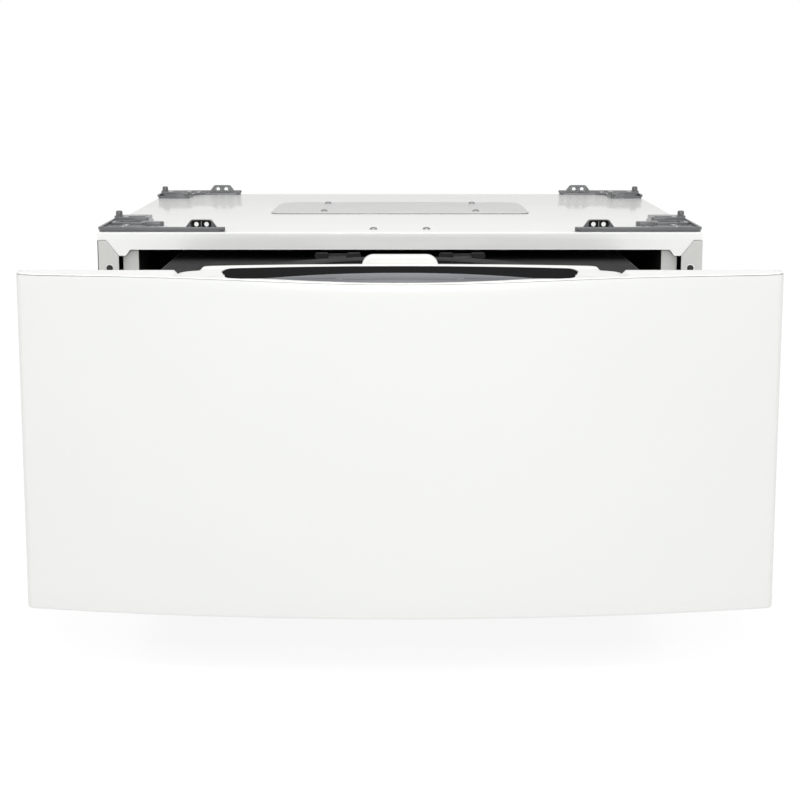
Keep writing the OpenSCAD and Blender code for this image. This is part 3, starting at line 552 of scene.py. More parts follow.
def bracket_shape(bm, place, long, deep, sweep, is_front):
    """One bracket, drawn for the front left corner with its corner at the origin."""
    def part(outer, holes, z0, z1, r, where=place, slot=0):
        slab(bm, [(x * mm, y * mm) for x, y in outer], [[(x * mm, y * mm) for x, y in h] for h in holes],
             z0 * mm, z1 * mm, r * mm, where, slot=slot)

    plate = [*arc(7.5, 7.5, 6, 180, 270), *arc(long - 8, 9, 7.5, -90, 90), (45.5 + sweep, 16.5),
             *arc(45.5 + sweep, 16.5 + sweep, sweep, -90, -180, 16)[1:], *arc(40.5, deep - 5.5, 5, 0, 90),
             *arc(6.5, deep - 5.5, 5, 90, 180)]
    part(plate, [], 0, 3, 0.9)
    rail = [*arc(7, 7, 6.5, 180, 270), *arc(long - 1.8, 2.2, 1.7, -90, 90, 6), *arc(7, 7, 3.5, 270, 180),
            *arc(2.2, deep - 2, 1.7, 0, 180, 6)]
    part(rail, [], 2.2, 5.6, 0.7)
    pad = deep - 50
    part(round_rect(6, pad, 45, deep - 10, 3), [], 2.9, 8.5, 1.1)
    part(round_rect(20, pad + 8, 40, deep - 18, 2), [], 8.4, 9.2, 0.5)
    if is_front:
        part(round_rect(6, 62, 45, 101, 3), [round_rect(14, 69, 40, 95, 2)], 2.9, 5.6, 0.8)
        part(round_rect(14, 69, 40, 95, 2), [], 2.9, 3.4, 0, slot=1)
        part(round_rect(38, 74, 66, 88, 5), [], 0.3, 5.2, 1.2)
    else:
        part(round_rect(10, deep - 8.5, 40, deep - 1.5, 2), [], 2.9, 5.4, 0.8)
    knob = [(0, 15), (2.6, 15), (3.6, 14.4), (4, 13.2), (4, 9.6), (5.4, 9), (5.8, 8), (5.8, 2.9), (0, 2.9)]
    knob_at = Matrix.Translation((8 * mm, (deep - 32) * mm, 0))
    lathe(bm, [(r * mm, z * mm) for r, z in knob], place @ knob_at, 28)
    upright = place @ Matrix.Translation((0, 10.5 * mm, 0)) @ Matrix.Rotation(math.radians(90), 4, "X")
    left, right = long - 47, long - 8
    middle = (left + right) / 2
    tab = [(left, 2.9), (right, 2.9), *arc(right - 10, 9.5, 4, 45, 90, 5),
           *arc(left + 10, 9.5, 4, 90, 135, 5)]
    pocket = round_rect(middle - 11.5, 3.6, middle + 11.5, 12.5, 3.6)
    holes = [arc(middle + side * 5.75, 8, 2.6, 0, 345, 23) for side in (-1, 1)]
    part(tab, [pocket], 0.8, 5, 0.7, upright)
    part(pocket, holes, 0, 1.6, 0, upright, slot=1 if is_front else 0)
    part(round_rect(middle - 0.5, 4, middle + 0.5, 12, 0.4), [], 1.5, 4.2, 0.2, upright)


for node in sorted(n for n in home if n.startswith("bracket_")):
    low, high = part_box(node)
    right, back = low.x > 0, low.y > (front + rear) / 2
    corner = Vector((half_w if right else -half_w, rear if back else front, top_z))
    flip = Matrix.Diagonal((-1 if right else 1, -1 if back else 1, 1, 1))
    long, deep = (high.x - low.x) / mm + 0.5, (high.y - low.y) / mm + 0.5
    bm = bmesh.new()
    bracket_shape(bm, Matrix.Translation(corner) @ flip, long, deep, 18 if back else 50, not back)
    bmesh.ops.recalc_face_normals(bm, faces=bm.faces[:])
    piece = object_from(node + "_pressed", bm, bracket_grey, recess_shade_black)
    belongs(smooth(piece, 40), node)

# ---------------------------------------------------------------------------
# Service cover: a thin satin grey steel plate over the opening in the top, with
# tapered rear corners, held by four screws.
# ---------------------------------------------------------------------------
cover_steel = coating("satin_grey_cover", "D0D0CF", 0.34, metallic=0.15, ripple_mm=1.5, ripple=0.06,
                      cloud_mm=70, cloud=0.05)
low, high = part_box("service_cover")
half = [*arc(high.x - 12 * mm, low.y + 12 * mm, 12 * mm, 270, 360, 8), (high.x - 1.5 * mm, low.y + 118 * mm),
        *arc(high.x - 28 * mm, high.y - 26 * mm, 24 * mm, 15, 80, 8), (high.x - 44 * mm, high.y),
        (high.x - 52 * mm, high.y - 5 * mm), (high.x - 84 * mm, high.y - 5 * mm), (high.x - 94 * mm, high.y)]
outline = half + [(-x, y) for x, y in reversed(half)]
bm = bmesh.new()
slab(bm, outline, [], low.z + 0.6 * mm, high.z, 0.4 * mm)
# A thin near black strip under the plate's edge is painted shadow: it draws the dark line beneath the plate.
slab(bm, ring_offset(outline, 1 * mm), [], low.z, low.z + 0.7 * mm, slot=1)
belongs(smooth(object_from("service_cover_plate", bm, cover_steel, recess_shade_black)), "service_cover")

# ---------------------------------------------------------------------------
# Screws: nickel plated pan heads with a cross recess, set in the top sheet, the cover
# and the brackets. One head is turned and cut, and the rest are its copies.
# ---------------------------------------------------------------------------
screw_steel = coating("nickel_plated_screw", "A6A7A9", 0.3, metallic=1.0, cloud_mm=4, cloud=0.15)
screw_dark = coating("oxide_in_screw_recess", "3A3A3C", 0.6, metallic=0.6, cloud_mm=3, cloud=0.2)


def scatter(name, points, shape, materials):
    """Copies of one small shape on a list of points, by Geometry Nodes, as plain mesh."""
    seeds = bpy.data.meshes.new(name + "_points")
    seeds.from_pydata([tuple(p) for p in points], [], [])
    piece = bpy.data.objects.new(name, seeds)
    scene.collection.objects.link(piece)
    tree = bpy.data.node_groups.new(name, "GeometryNodeTree")
    tree.interface.new_socket("Geometry", in_out="INPUT", socket_type="NodeSocketGeometry")
    tree.interface.new_socket("Shape", in_out="INPUT", socket_type="NodeSocketObject")
    tree.interface.new_socket("Geometry", in_out="OUTPUT", socket_type="NodeSocketGeometry")
    group_in = add(tree, "NodeGroupInput")
    info = add(tree, "GeometryNodeObjectInfo", {"Object": group_in.outputs["Shape"]})
    copies = add(tree, "GeometryNodeInstanceOnPoints",
                 {"Points": group_in.outputs["Geometry"], "Instance": info.outputs["Geometry"]})
    real = add(tree, "GeometryNodeRealizeInstances", {"Geometry": copies.outputs["Instances"]})
    last = real.outputs["Geometry"]
    if len(materials) == 1:
        last = add(tree, "GeometryNodeSetMaterial", {"Geometry": last, "Material": materials[0]}).outputs[0]
    add(tree, "NodeGroupOutput", {"Geometry": last})
    modifier = piece.modifiers.new("copies", "NODES")
    modifier.node_group = tree
    modifier[tree.interface.items_tree["Shape"].identifier] = shape
    applied(piece)
    bpy.data.objects.remove(shape)
    return piece


def screw_head(r, h):
    """A pan head with a cross recess, standing on z = 0."""
    bm = bmesh.new()
    dome = [(0, h), (r * 0.45, h * 0.98), (r * 0.8, h * 0.8), (r * 0.97, h * 0.45), (r, h * 0.15),
            (r, -h), (0, -h)]
    lathe(bm, dome, steps=24)
    arm, wide = r * 0.55, r * 0.14
    cross = [(wide, -arm), (wide, -wide), (arm, -wide), (arm, wide), (wide, wide), (wide, arm),
             (-wide, arm), (-wide, wide), (-arm, wide), (-arm, -wide), (-wide, -wide), (-wide, -arm)]
    slab(bm, cross, [], 0, h * 1.01, slot=1)
    return smooth(object_from("screw_head", bm, screw_steel, screw_dark), 40)


heads = islands("top_screws")
points = [((a.x + b.x) / 2, (a.y + b.y) / 2, b.z - 1.6 * mm) for a, b in heads]
screws = scatter("pan_head_screws", points, screw_head(4.5 * mm, 2.2 * mm), [screw_steel, screw_dark])
belongs(screws, "top_screws")

# ---------------------------------------------------------------------------
# Post plugs: black moulded rubber buffers, each pushed through a white nylon collar into
# a hole in the front post.
# ---------------------------------------------------------------------------
rubber = coating("black_moulded_rubber", "161616", 0.55, ripple_mm=0.8, ripple=0.1, cloud_mm=8, cloud=0.2)
bm = bmesh.new()
for low, high in islands("post_plugs"):
    way = Matrix.Translation(((low.x + high.x) / 2, front, (low.z + high.z) / 2)) @ Matrix.Rotation(
        math.radians(90), 4, "X")
    tip = [(0, 2.5), (2.4, 2.4), (3.4, 1.9), (3.7, 1.1), (3.7, -0.1), (0, -0.1)]
    lathe(bm, [(r * mm, z * mm) for r, z in tip], way, 28)
    collar = [(3.6, 0.1), (3.6, 1.2), (4.3, 1.5), (5.0, 1.1), (5.2, 0.1)]
    lathe(bm, [(r * mm, z * mm) for r, z in collar], way, 28, slot=1)
nylon = coating("white_nylon", "E4E4E0", 0.4, ripple_mm=0.6, ripple=0.06, cloud_mm=6, cloud=0.05)
belongs(smooth(object_from("post_plugs_moulded", bm, rubber, nylon), 50), "post_plugs")

# ---------------------------------------------------------------------------
# Connections on the back: a white plastic inlet valve with two hose threads, a drain
# spigot and a cord bush. The circuit board stands in an open plastic box inside.
# ---------------------------------------------------------------------------
white_plastic = coating("moulded_white_plastic", "E6E6E2", 0.35, ripple_mm=0.8, ripple=0.06,
                        cloud_mm=40, cloud=0.03)
grey_plastic = coating("moulded_grey_plastic", "6E6F72", 0.5, ripple_mm=0.7, ripple=0.12,
                       cloud_mm=20, cloud=0.08)
black_plastic = coating("moulded_black_plastic", "1B1B1C", 0.5, ripple_mm=0.7, ripple=0.12,
                        cloud_mm=20, cloud=0.15)
softened("inlet_valve", white_plastic, 0.5)
softened("drain_spigot", grey_plastic, 0.5)
softened("cord_gland", black_plastic, 0.5)
softened("control_box", white_plastic, 0.6)

# ---------------------------------------------------------------------------
# Feet: black rubber pads bonded to threaded steel stems, which screw into the base pan
# and are held by plated lock nuts.
# ---------------------------------------------------------------------------
for node in sorted(n for n in home if n.startswith("foot_") and n != "foot_lock_nuts"):
    low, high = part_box(node)
    x, y, r = (low.x + high.x) / 2, (low.y + high.y) / 2, (high.x - low.x) / 2
    bm = bmesh.new()
    pad = [(0, 0), (r - 1.5 * mm, 0), (r - 0.4 * mm, 0.5 * mm), (r, 1.6 * mm), (r, 6 * mm),
           (r - 1.2 * mm, 7.6 * mm), (r - 7 * mm, 11.2 * mm), (r - 9 * mm, 12 * mm), (5 * mm, 12 * mm)]
    stem = [(5 * mm, 12 * mm)]
    turns = int((high.z - 13 * mm) / (1.5 * mm))
    for k in range(turns):
        z = 13 * mm + k * 1.5 * mm
        stem += [(5 * mm, z), (4.4 * mm, z + 0.75 * mm)]
    lathe(bm, pad + [(0, 12 * mm)], Matrix.Translation((x, y, 0)), 40, slot=0)
    lathe(bm, stem + [(4.4 * mm, high.z), (0, high.z)], Matrix.Translation((x, y, 0)), 24, slot=1)
    belongs(smooth(object_from(node + "_moulded", bm, rubber, screw_steel)), node)
softened("foot_lock_nuts", screw_steel, 0.4)

# ---------------------------------------------------------------------------
# Drawer body: steel sides and rear wall with folded stiffeners, two rails under the
# tub, and shelves that carry the four suspension rods, all dipped in black paint.
# ---------------------------------------------------------------------------
dipped_body = coating("black_dipped_body", "1C1C1E", 0.55, ripple_mm=1.5, ripple=0.1, cloud_mm=60, cloud=0.2)
softened("drawer_left_side", dipped_body, 0.4)
softened("drawer_right_side", dipped_body, 0.4)
softened("drawer_rear_wall", dipped_body, 0.4)
softened("drawer_cross_rails", dipped_body, 0.5)

# ---------------------------------------------------------------------------
# Suspension: four spring steel rods hang from the shelves, and the tub's arms rest on
# the coil springs wound round them.
# ---------------------------------------------------------------------------
spring_steel = coating("oiled_spring_steel", "6F7276", 0.35, metallic=1.0, ripple_mm=0.5, ripple=0.15,
                       cloud_mm=6, cloud=0.25)
softened("suspension_rods", spring_steel, 0.5)


def coil_tree():
    """Geometry Nodes: a round wire wound into a coil, with both ends cut square."""
    tree = bpy.data.node_groups.new("coil", "GeometryNodeTree")
    for name, kind in (("Radius", "NodeSocketFloat"), ("Height", "NodeSocketFloat"),
                       ("Turns", "NodeSocketFloat"), ("Wire", "NodeSocketFloat"),
                       ("Steel", "NodeSocketMaterial")):
        tree.interface.new_socket(name, in_out="INPUT", socket_type=kind)
    tree.interface.new_socket("Geometry", in_out="OUTPUT", socket_type="NodeSocketGeometry")
    sizes = add(tree, "NodeGroupInput").outputs
    path = add(tree, "GeometryNodeCurveSpiral",
               {"Resolution": 28, "Rotations": sizes["Turns"], "Start Radius": sizes["Radius"],
                "End Radius": sizes["Radius"], "Height": sizes["Height"]})
    wire = add(tree, "GeometryNodeCurvePrimitiveCircle", {"Resolution": 10, "Radius": sizes["Wire"]})
    body = add(tree, "GeometryNodeCurveToMesh",
               {"Curve": path.outputs["Curve"], "Profile Curve": wire.outputs["Curve"], "Fill Caps": True})
    real = add(tree, "GeometryNodeRealizeInstances", {"Geometry": body.outputs["Mesh"]})
    coated = add(tree, "GeometryNodeSetMaterial", {"Geometry": real.outputs["Geometry"],
                                                   "Material": sizes["Steel"]})
    add(tree, "NodeGroupOutput", {"Geometry": coated.outputs["Geometry"]})
    return tree


winding = coil_tree()


def coil(name, place, radius, height, turns, wire, material):
    """One wound coil as plain mesh, standing at a place."""
    piece = bpy.data.objects.new(name, bpy.data.meshes.new(name))
    scene.collection.objects.link(piece)
    modifier = piece.modifiers.new("coil", "NODES")
    modifier.node_group = winding
    for socket, value in (("Radius", radius), ("Height", height), ("Turns", turns), ("Wire", wire),
                          ("Steel", material)):
        modifier[winding.interface.items_tree[socket].identifier] = value
    applied(piece)
    piece.data.transform(place)
    piece.data.shade_smooth()
    return piece


def joined(name, pieces):
    """Several meshes of one material as one."""
    bm = bmesh.new()
    for piece in pieces:
        bm.from_mesh(piece.data)
    material = pieces[0].data.materials[0]
    for piece in pieces:
        bpy.data.objects.remove(piece)
    bmesh.ops.recalc_face_normals(bm, faces=bm.faces[:])
    made = object_from(name, bm, material)
    made.data.shade_smooth()
    return made


made = []
for low, high in islands("suspension_springs"):
    wire = 1.4 * mm
    foot = Matrix.Translation(((low.x + high.x) / 2, (low.y + high.y) / 2, low.z + wire))
    made.append(coil("spring", foot, 9 * mm, high.z - low.z - 2 * wire, 8.0, wire, spring_steel))
springs = belongs(joined("suspension_springs_wound", made), "suspension_springs")
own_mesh(springs)

# ---------------------------------------------------------------------------
# Tub: a grey polypropylene moulding with a ribbed outside, its bolted cover, and the
# direct drive motor, bearings and shaft below it.
# ---------------------------------------------------------------------------
polypropylene = coating("grey_polypropylene", "C3C6C6", 0.45, ripple_mm=1.2, ripple=0.1,
                        cloud_mm=30, cloud=0.06)
softened("tub", polypropylene, 1.0)
softened("tub_cover", polypropylene, 0.8)
low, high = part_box("tub_cover")
hub = Vector(((low.x + high.x) / 2, (low.y + high.y) / 2, 0))

copper = coating("enamelled_copper_winding", "A8572E", 0.32, metallic=0.9, ripple_mm=0.8, ripple=0.5,
                 cloud_mm=3, cloud=0.35, stretch=(1, 1, 0.1))
rotor_steel = coating("zinc_plated_rotor", "A4A8AB", 0.38, metallic=1.0, ripple_mm=0.8, ripple=0.1,
                      cloud_mm=18, cloud=0.15)
ground_steel = coating("ground_shaft_steel", "B4B6B8", 0.2, metallic=1.0, ripple_mm=0.3, ripple=0.15,
                       cloud_mm=5, cloud=0.08, stretch=(1, 1, 8))
softened("motor_stator", copper, 0.8)
softened("motor_rotor", rotor_steel, 0.8)
softened("drive_shaft", ground_steel, 0.6)
softened("basket_shaft", ground_steel, 0.5)
softened("shaft_bearings", ground_steel, 0.8)
softened("shaft_seal", rubber, 0.8)
softened("drain_pump", white_plastic, 0.8)
softened("pump_impeller", white_plastic, 0.4)

# ---------------------------------------------------------------------------
# Basket: rolled stainless sheet with rows of punched holes and a pressed floor, a
# liquid filled balance ring, and the moulded pulsator with six vanes.
# ---------------------------------------------------------------------------
stainless = coating("stainless_sheet", "C4C6C8", 0.24, metallic=1.0, ripple_mm=0.6, ripple=0.08,
                    cloud_mm=40, cloud=0.06, stretch=(1, 1, 10))
low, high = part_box("basket")
basket_r, basket_t = (high.x - low.x) / 2, 1.2 * mm
heel = 16 * mm
punched_from, punched_to = low.z + heel + 8 * mm, high.z - 30 * mm
cell = 11 * mm
around = int(2 * math.pi * basket_r / cell)
rows = int((punched_to - punched_from) / cell)
cell_h = (punched_to - punched_from) / rows
centre = Matrix.Translation(hub)
bm = bmesh.new()
shaft_hole = 15 * mm


def heel_arc(r, angles):
    """The rolled edge between the wall and the floor, at a radius about the heel's centre."""
    return [(basket_r - heel + r * math.cos(math.radians(a)), low.z + heel - r * math.sin(math.radians(a)))
            for a in angles]


lathe(bm, [(basket_r, punched_from), (basket_r, low.z + heel), *heel_arc(heel, range(10, 91, 10)),
           (70 * mm, low.z), (shaft_hole, low.z), (shaft_hole, low.z + basket_t),
           (basket_r - heel, low.z + basket_t), *heel_arc(heel - basket_t, range(80, -1, -10)),
           (basket_r - basket_t, punched_from)], centre, around)
lathe(bm, [(basket_r - basket_t, punched_to), (basket_r - basket_t, high.z - 1 * mm),
           (basket_r - 0.6 * mm, high.z), (basket_r, high.z - 1 * mm), (basket_r, punched_to)],
      centre, around)
wall = object_from("basket_wall", bm, stainless)


def punched_cell():
    """One cell of the sheet: a round hole with a dimpled rim, for a wall seen from inside."""
    bm = bmesh.new()
    w, h, r = 2 * math.pi * basket_r / around / 2, cell_h / 2, 2 * mm
    square = [(w, 0), (w, h), (0, h), (-w, h), (-w, 0), (-w, -h), (0, -h), (w, -h)]
    sheet = []
    for inward in (0, basket_t):
        lean = (basket_r - inward) / basket_r
        outer = [bm.verts.new((-inward, x * lean, z)) for x, z in square]
        rim = [bm.verts.new((-inward + 0.5 * mm, r * 1.5 * math.cos(a), r * 1.5 * math.sin(a)))
               for a in [math.pi / 4 * i for i in range(8)]]
        hole = [bm.verts.new((-inward + 0.9 * mm, r * math.cos(a), r * math.sin(a)))
                for a in [math.pi / 4 * i for i in range(8)]]
        sheet.append((outer, rim, hole))
        for i in range(8):
            j = (i + 1) % 8
            for a, b in ((outer, rim), (rim, hole)):
                corners = [a[i], a[j], b[j], b[i]]
                bm.faces.new(corners if inward == 0 else corners[::-1])
    for i in range(8):
        j = (i + 1) % 8
        bm.faces.new([sheet[0][2][i], sheet[0][2][j], sheet[1][2][j], sheet[1][2][i]])
    return object_from("punched_cell", bm, stainless)


def ring_of(name, shape, rows_up, count, radius, from_z, pitch, material):
    """Rows of one shape round a circle, by Geometry Nodes: a grid of points, wrapped round."""
    tree = bpy.data.node_groups.new(name, "GeometryNodeTree")
    for socket, kind in (("Shape", "NodeSocketObject"), ("Count", "NodeSocketInt"), ("Rows", "NodeSocketInt"),
                         ("Radius", "NodeSocketFloat"), ("Pitch", "NodeSocketFloat"),
                         ("Finish", "NodeSocketMaterial")):
        tree.interface.new_socket(socket, in_out="INPUT", socket_type=kind)
    tree.interface.new_socket("Geometry", in_out="OUTPUT", socket_type="NodeSocketGeometry")
    sizes = add(tree, "NodeGroupInput").outputs
    total = add(tree, "ShaderNodeMath", {0: sizes["Count"], 1: sizes["Rows"]}, operation="MULTIPLY")
    points = add(tree, "GeometryNodePoints", {"Count": total.outputs[0]})
    index = add(tree, "GeometryNodeInputIndex").outputs["Index"]
    row = add(tree, "ShaderNodeMath", {0: index, 1: sizes["Count"]}, operation="DIVIDE")
    row = add(tree, "ShaderNodeMath", {0: row.outputs[0]}, operation="FLOOR").outputs[0]
    share = add(tree, "ShaderNodeMath", {0: index, 1: sizes["Count"]}, operation="DIVIDE").outputs[0]
    turn = add(tree, "ShaderNodeMath", {0: share, 1: 2 * math.pi}, operation="MULTIPLY").outputs[0]
    x = add(tree, "ShaderNodeMath", {0: turn}, operation="COSINE").outputs[0]
    y = add(tree, "ShaderNodeMath", {0: turn}, operation="SINE").outputs[0]
    x = add(tree, "ShaderNodeMath", {0: x, 1: sizes["Radius"]}, operation="MULTIPLY").outputs[0]
    y = add(tree, "ShaderNodeMath", {0: y, 1: sizes["Radius"]}, operation="MULTIPLY").outputs[0]
    z = add(tree, "ShaderNodeMath", {0: row, 1: sizes["Pitch"]}, operation="MULTIPLY").outputs[0]
    where = add(tree, "ShaderNodeCombineXYZ", {"X": x, "Y": y, "Z": z}).outputs[0]
    placed = add(tree, "GeometryNodeSetPosition", {"Geometry": points.outputs[0], "Position": where})
    facing = add(tree, "ShaderNodeCombineXYZ", {"Z": turn}).outputs[0]
    info = add(tree, "GeometryNodeObjectInfo", {"Object": sizes["Shape"]})
    copies = add(tree, "GeometryNodeInstanceOnPoints",
                 {"Points": placed.outputs[0], "Instance": info.outputs["Geometry"], "Rotation": facing})
    real = add(tree, "GeometryNodeRealizeInstances", {"Geometry": copies.outputs[0]})
    coated = add(tree, "GeometryNodeSetMaterial", {"Geometry": real.outputs[0], "Material": sizes["Finish"]})
    add(tree, "NodeGroupOutput", {"Geometry": coated.outputs[0]})
    piece = bpy.data.objects.new(name, bpy.data.meshes.new(name))
    scene.collection.objects.link(piece)
    modifier = piece.modifiers.new("ring", "NODES")
    modifier.node_group = tree
    for socket, value in (("Shape", shape), ("Count", count), ("Rows", rows_up), ("Radius", radius),
                          ("Pitch", pitch), ("Finish", material)):
        modifier[tree.interface.items_tree[socket].identifier] = value
    applied(piece)
    piece.data.transform(Matrix.Translation(hub + Vector((0, 0, from_z))))
    bpy.data.objects.remove(shape)
    return piece


cells = ring_of("punched_cells", punched_cell(), rows, around, basket_r, punched_from + cell_h / 2, cell_h,
                stainless)
bm = bmesh.new()
for piece in (wall, cells):
    bm.from_mesh(piece.data)
    bpy.data.objects.remove(piece)
bmesh.ops.remove_doubles(bm, verts=bm.verts, dist=0.2 * mm)
bmesh.ops.recalc_face_normals(bm, faces=bm.faces[:])
belongs(smooth(object_from("basket_punched", bm, stainless), 50), "basket")

ring_plastic = coating("balance_ring_polymer", "8F9496", 0.35, ripple_mm=1, ripple=0.08,
                       cloud_mm=25, cloud=0.07)
pulsator_plastic = coating("pulsator_polypropylene", "D4D7D8", 0.38, ripple_mm=1, ripple=0.08,
                           cloud_mm=30, cloud=0.05)
softened("balance_ring", ring_plastic, 1.2, segments=3)
softened("pulsator", pulsator_plastic, 1.6, segments=3)

# ---------------------------------------------------------------------------
# Deck: a graphite grey moulded top over the tub, with the mouth of the basket and the
# hinge eyes. Its mould was lightly sand blasted.
# ---------------------------------------------------------------------------
graphite = coating("moulded_graphite_plastic", "1C1C1D", 0.65, ripple_mm=0.8, ripple=0.15,
                   cloud_mm=50, cloud=0.12)
graphite.node_tree.nodes["Principled BSDF"].inputs["Specular IOR Level"].default_value = 0.2
softened("drawer_deck", graphite, 0.8, segments=3)

# ---------------------------------------------------------------------------
# Lid: a moulded graphite frame round a smoked window. It swings on two blued steel pins
# in the hinge eyes of the deck.
# ---------------------------------------------------------------------------
softened("lid_frame", graphite, 1.4, segments=3)
blued_steel = coating("blued_pin_steel", "1B1C1F", 0.5, metallic=0.6, ripple_mm=0.4, ripple=0.1,
                      cloud_mm=5, cloud=0.2)
softened("lid_hinge_pins", blued_steel, 0.5)
smoked = coating("smoked_window", "1A1A1C", 0.06, cloud_mm=90, cloud=0.05)
shader = smoked.node_tree.nodes["Principled BSDF"]
shader.inputs["Transmission Weight"].default_value = 0.55
shader.inputs["IOR"].default_value = 1.49
softened("lid_window", smoked, 1.2, segments=3)

# ---------------------------------------------------------------------------
# Front panel: one sheet of enamelled steel, bowed across its width, turned round the
# upright corners and hemmed at top and bottom. Its top edge dips towards the middle.
# ---------------------------------------------------------------------------
low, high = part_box("front_skin")
panel_w, panel_back, panel_z = high.x, high.y, low.z
bow = 36 * mm
bow_r = (panel_w ** 2 + bow ** 2) / (2 * bow)
face_y = low.y
bow_y = face_y + bow_r
corner_r = 7 * mm
cap_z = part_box("top_cap")[1].z


def front_line(inset):
    """Plan of the panel's outer face, from the left rear edge round to the right one."""
    r, c, w = bow_r - inset, max(corner_r - inset, 0.3 * mm), panel_w - inset
    cy = bow_y - math.sqrt((r - c) ** 2 - (w - c) ** 2)
    turn = math.degrees(math.atan2(cy - bow_y, c - w)) % 360
    face = arc(0, bow_y, r, turn, 540 - turn, 110)[1:-1]
    return [(-w, panel_back), *arc(c - w, cy, c, 180, turn, 8), *face,
            *arc(w - c, cy, c, 540 - turn, 360, 8), (w, panel_back)]


def seam_z(x):
    """Height of the seam between the panel and its top cap."""
    x = abs(x)
    dip = 5 * math.cos(math.pi * x / (500 * mm)) ** 2 if x < 250 * mm else 0
    rise = 1.1 * (max(0, x - 322 * mm) / (21 * mm)) ** 2
    return cap_z + (-2.1 - dip + rise) * mm


def seam_gap(x):
    """Width of that seam, which opens towards the ends."""
    return (0.3 + 0.8 * (abs(x) / panel_w) ** 8) * mm


stations = []
turn_under = [(2.5 - 2.5 * math.sin(math.radians(a)), 2.5 - 2.5 * math.cos(math.radians(a)), 0)
              for a in (22, 45, 67)]
for inset, height, top in [
        (18, 1.5, 0), (18, 0, 0), (2.6, 0, 0), *turn_under,
        (0, 2.5, 0), (0, 20, 0), (0, -12, 1), (0, -0.6, 1), (0.18, -0.18, 1), (0.6, 0, 1), (0.9, 0, 1),
        (1.5, -0.5, 1), (1.5, -12, 1), (1.5, 4, 0), (2.6, 1.5, 0)]:
    line = front_line(inset * mm)
    stations.append([(x, y, (seam_z(x) - seam_gap(x) if top else panel_z) + height * mm) for x, y in line])
bm = bmesh.new()
grid = [[bm.verts.new(p) for p in line] for line in stations]
for a, b in zip(grid, grid[1:] + grid[:1]):
    for i in range(len(a) - 1):
        bm.faces.new([a[i], a[i + 1], b[i + 1], b[i]])
for end in (0, -1):
    bm.faces.new([line[end] for line in grid])
bmesh.ops.recalc_face_normals(bm, faces=bm.faces[:])
front_enamel = coating("front_panel_enamel", "DBDCD9", 0.3, coat=0.3, ripple_mm=6, ripple=0.03,
                       cloud_mm=220, cloud=0.01)
belongs(smooth(object_from("front_skin_formed", bm, front_enamel), 40), "front_skin")
softened("front_backplate", white_plastic, 0.8)

# ---------------------------------------------------------------------------
# Top cap: a white moulding that closes the front panel and carries the control glass,
# the finger grip and the lid button. Its wings slope to the front edge.
# ---------------------------------------------------------------------------
cap_white = coating("moulded_gloss_white", "F0F0ED", 0.22, coat=0.2, ripple_mm=3, ripple=0.03,
                    cloud_mm=120, cloud=0.015)
grip_grey_and_shade = coating("grip_grey_painted_shade", "8B8D90", 0.4, ripple_mm=1, ripple=0.08, cloud_mm=30, cloud=0.06)
house_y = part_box("top_cap")[1].y - 19 * mm
house_w = 185.5 * mm
wing_back = panel_back
web_w = 199 * mm
glass_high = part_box("control_glass")[1]
glass_w = glass_high.x
grip_w = 122 * mm


def face_at(x):
    """Where the bowed face stands at a distance from the middle."""
    return bow_y - math.sqrt(bow_r ** 2 - min(abs(x), panel_w) ** 2)


def eased(t):
    """A soft step from 0 to 1."""
    t = min(1.0, max(0.0, t))
    return t * t * (3 - 2 * t)


def cap_surface(x, y):
    """Height of the cap's upper face, measured from the top of the cap."""
    edge = seam_z(x) - cap_z + 0.9 * mm
    x = abs(x)
    wing = eased((x - web_w) / (4 * mm)) * (1 - eased((y - wing_back) / (5 * mm)))
    level = (-2.7 - 2.2 * (x / glass_w) ** 2) * mm * (1 - wing)
    over_grip = 15 * mm + 34 * mm * max(0.0, 1 - (x / (150 * mm)) ** 2)
    over_wing = 17 * mm + (face_at(panel_w) - face_at(x)) * 0.9
    side = eased((x - glass_w) / (40 * mm))
    reach = over_grip + (over_wing - over_grip) * side
    up = edge + (level - edge) * eased((y - face_at(x)) / reach)
    if x < house_w + 1 * mm and y > glass_high.y:
        up += (0.9 + 0.7 * (x / glass_w) ** 2) * mm * eased((y - glass_high.y - 0.5 * mm) / (6 * mm))
    return up


def cap_under(x, y):
    """Height of the cap's lower edge, which is the seam along the front."""
    if y < wing_back - 6 * mm:
        return seam_z(x) - cap_z
    return -8 * mm


def lens(front_y, back_y, grow, steps=40):
    """Plan of the finger grip between two arcs, turning left."""
    side = grip_w
    rise = side_y - front_y
    fall = back_y - side_y
    r0, r1 = (side ** 2 + rise ** 2) / (2 * rise), (side ** 2 + fall ** 2) / (2 * fall)
    a0, a1 = math.degrees(math.asin(side / r0)), math.degrees(math.asin(side / r1))
    near = arc(0, front_y + r0, r0 + grow, 270 - a0, 270 + a0, steps)
    far = arc(0, back_y - r1, r1 + grow, 90 - a1, 90 + a1, steps)
    return near + far[1:-1]


side_y = face_y + 18 * mm
grip = lens(face_y + 5 * mm, side_y + 35 * mm, 0)


def glass_outline(grow, rim=1.2 * mm):
    """Plan of the glass: bowed at the front, cut away round the grip, with soft ends."""
    soft = 7 * mm
    r = (grip_w ** 2 + (35 * mm) ** 2) / (70 * mm)
    cut = r + rim - grow
    arc_y = side_y + 35 * mm - r

    def edge_of(w, y_at, pull_by):
        tips = [(w - soft + soft * math.sin(math.radians(a)), pull_by * (1 - math.cos(math.radians(a))))
                for a in range(10, 91, 10)]
        flat = [((soft - w) + 2 * (w - soft) * i / 60, 0) for i in range(61)]
        return [(x, y_at(x) + pull) for x, pull in [(-x, y) for x, y in reversed(tips)] + flat + tips]

    def near_y(x):
        y = face_at(x) + 14 * mm - grow
        return max(y, arc_y + math.sqrt(cut ** 2 - x ** 2)) if abs(x) < cut else y

    near = edge_of(glass_w - 6 * mm + grow, near_y, 24 * mm)
    far = edge_of(glass_w + grow, lambda x: glass_high.y + grow, -26 * mm)
    return near + far[::-1]


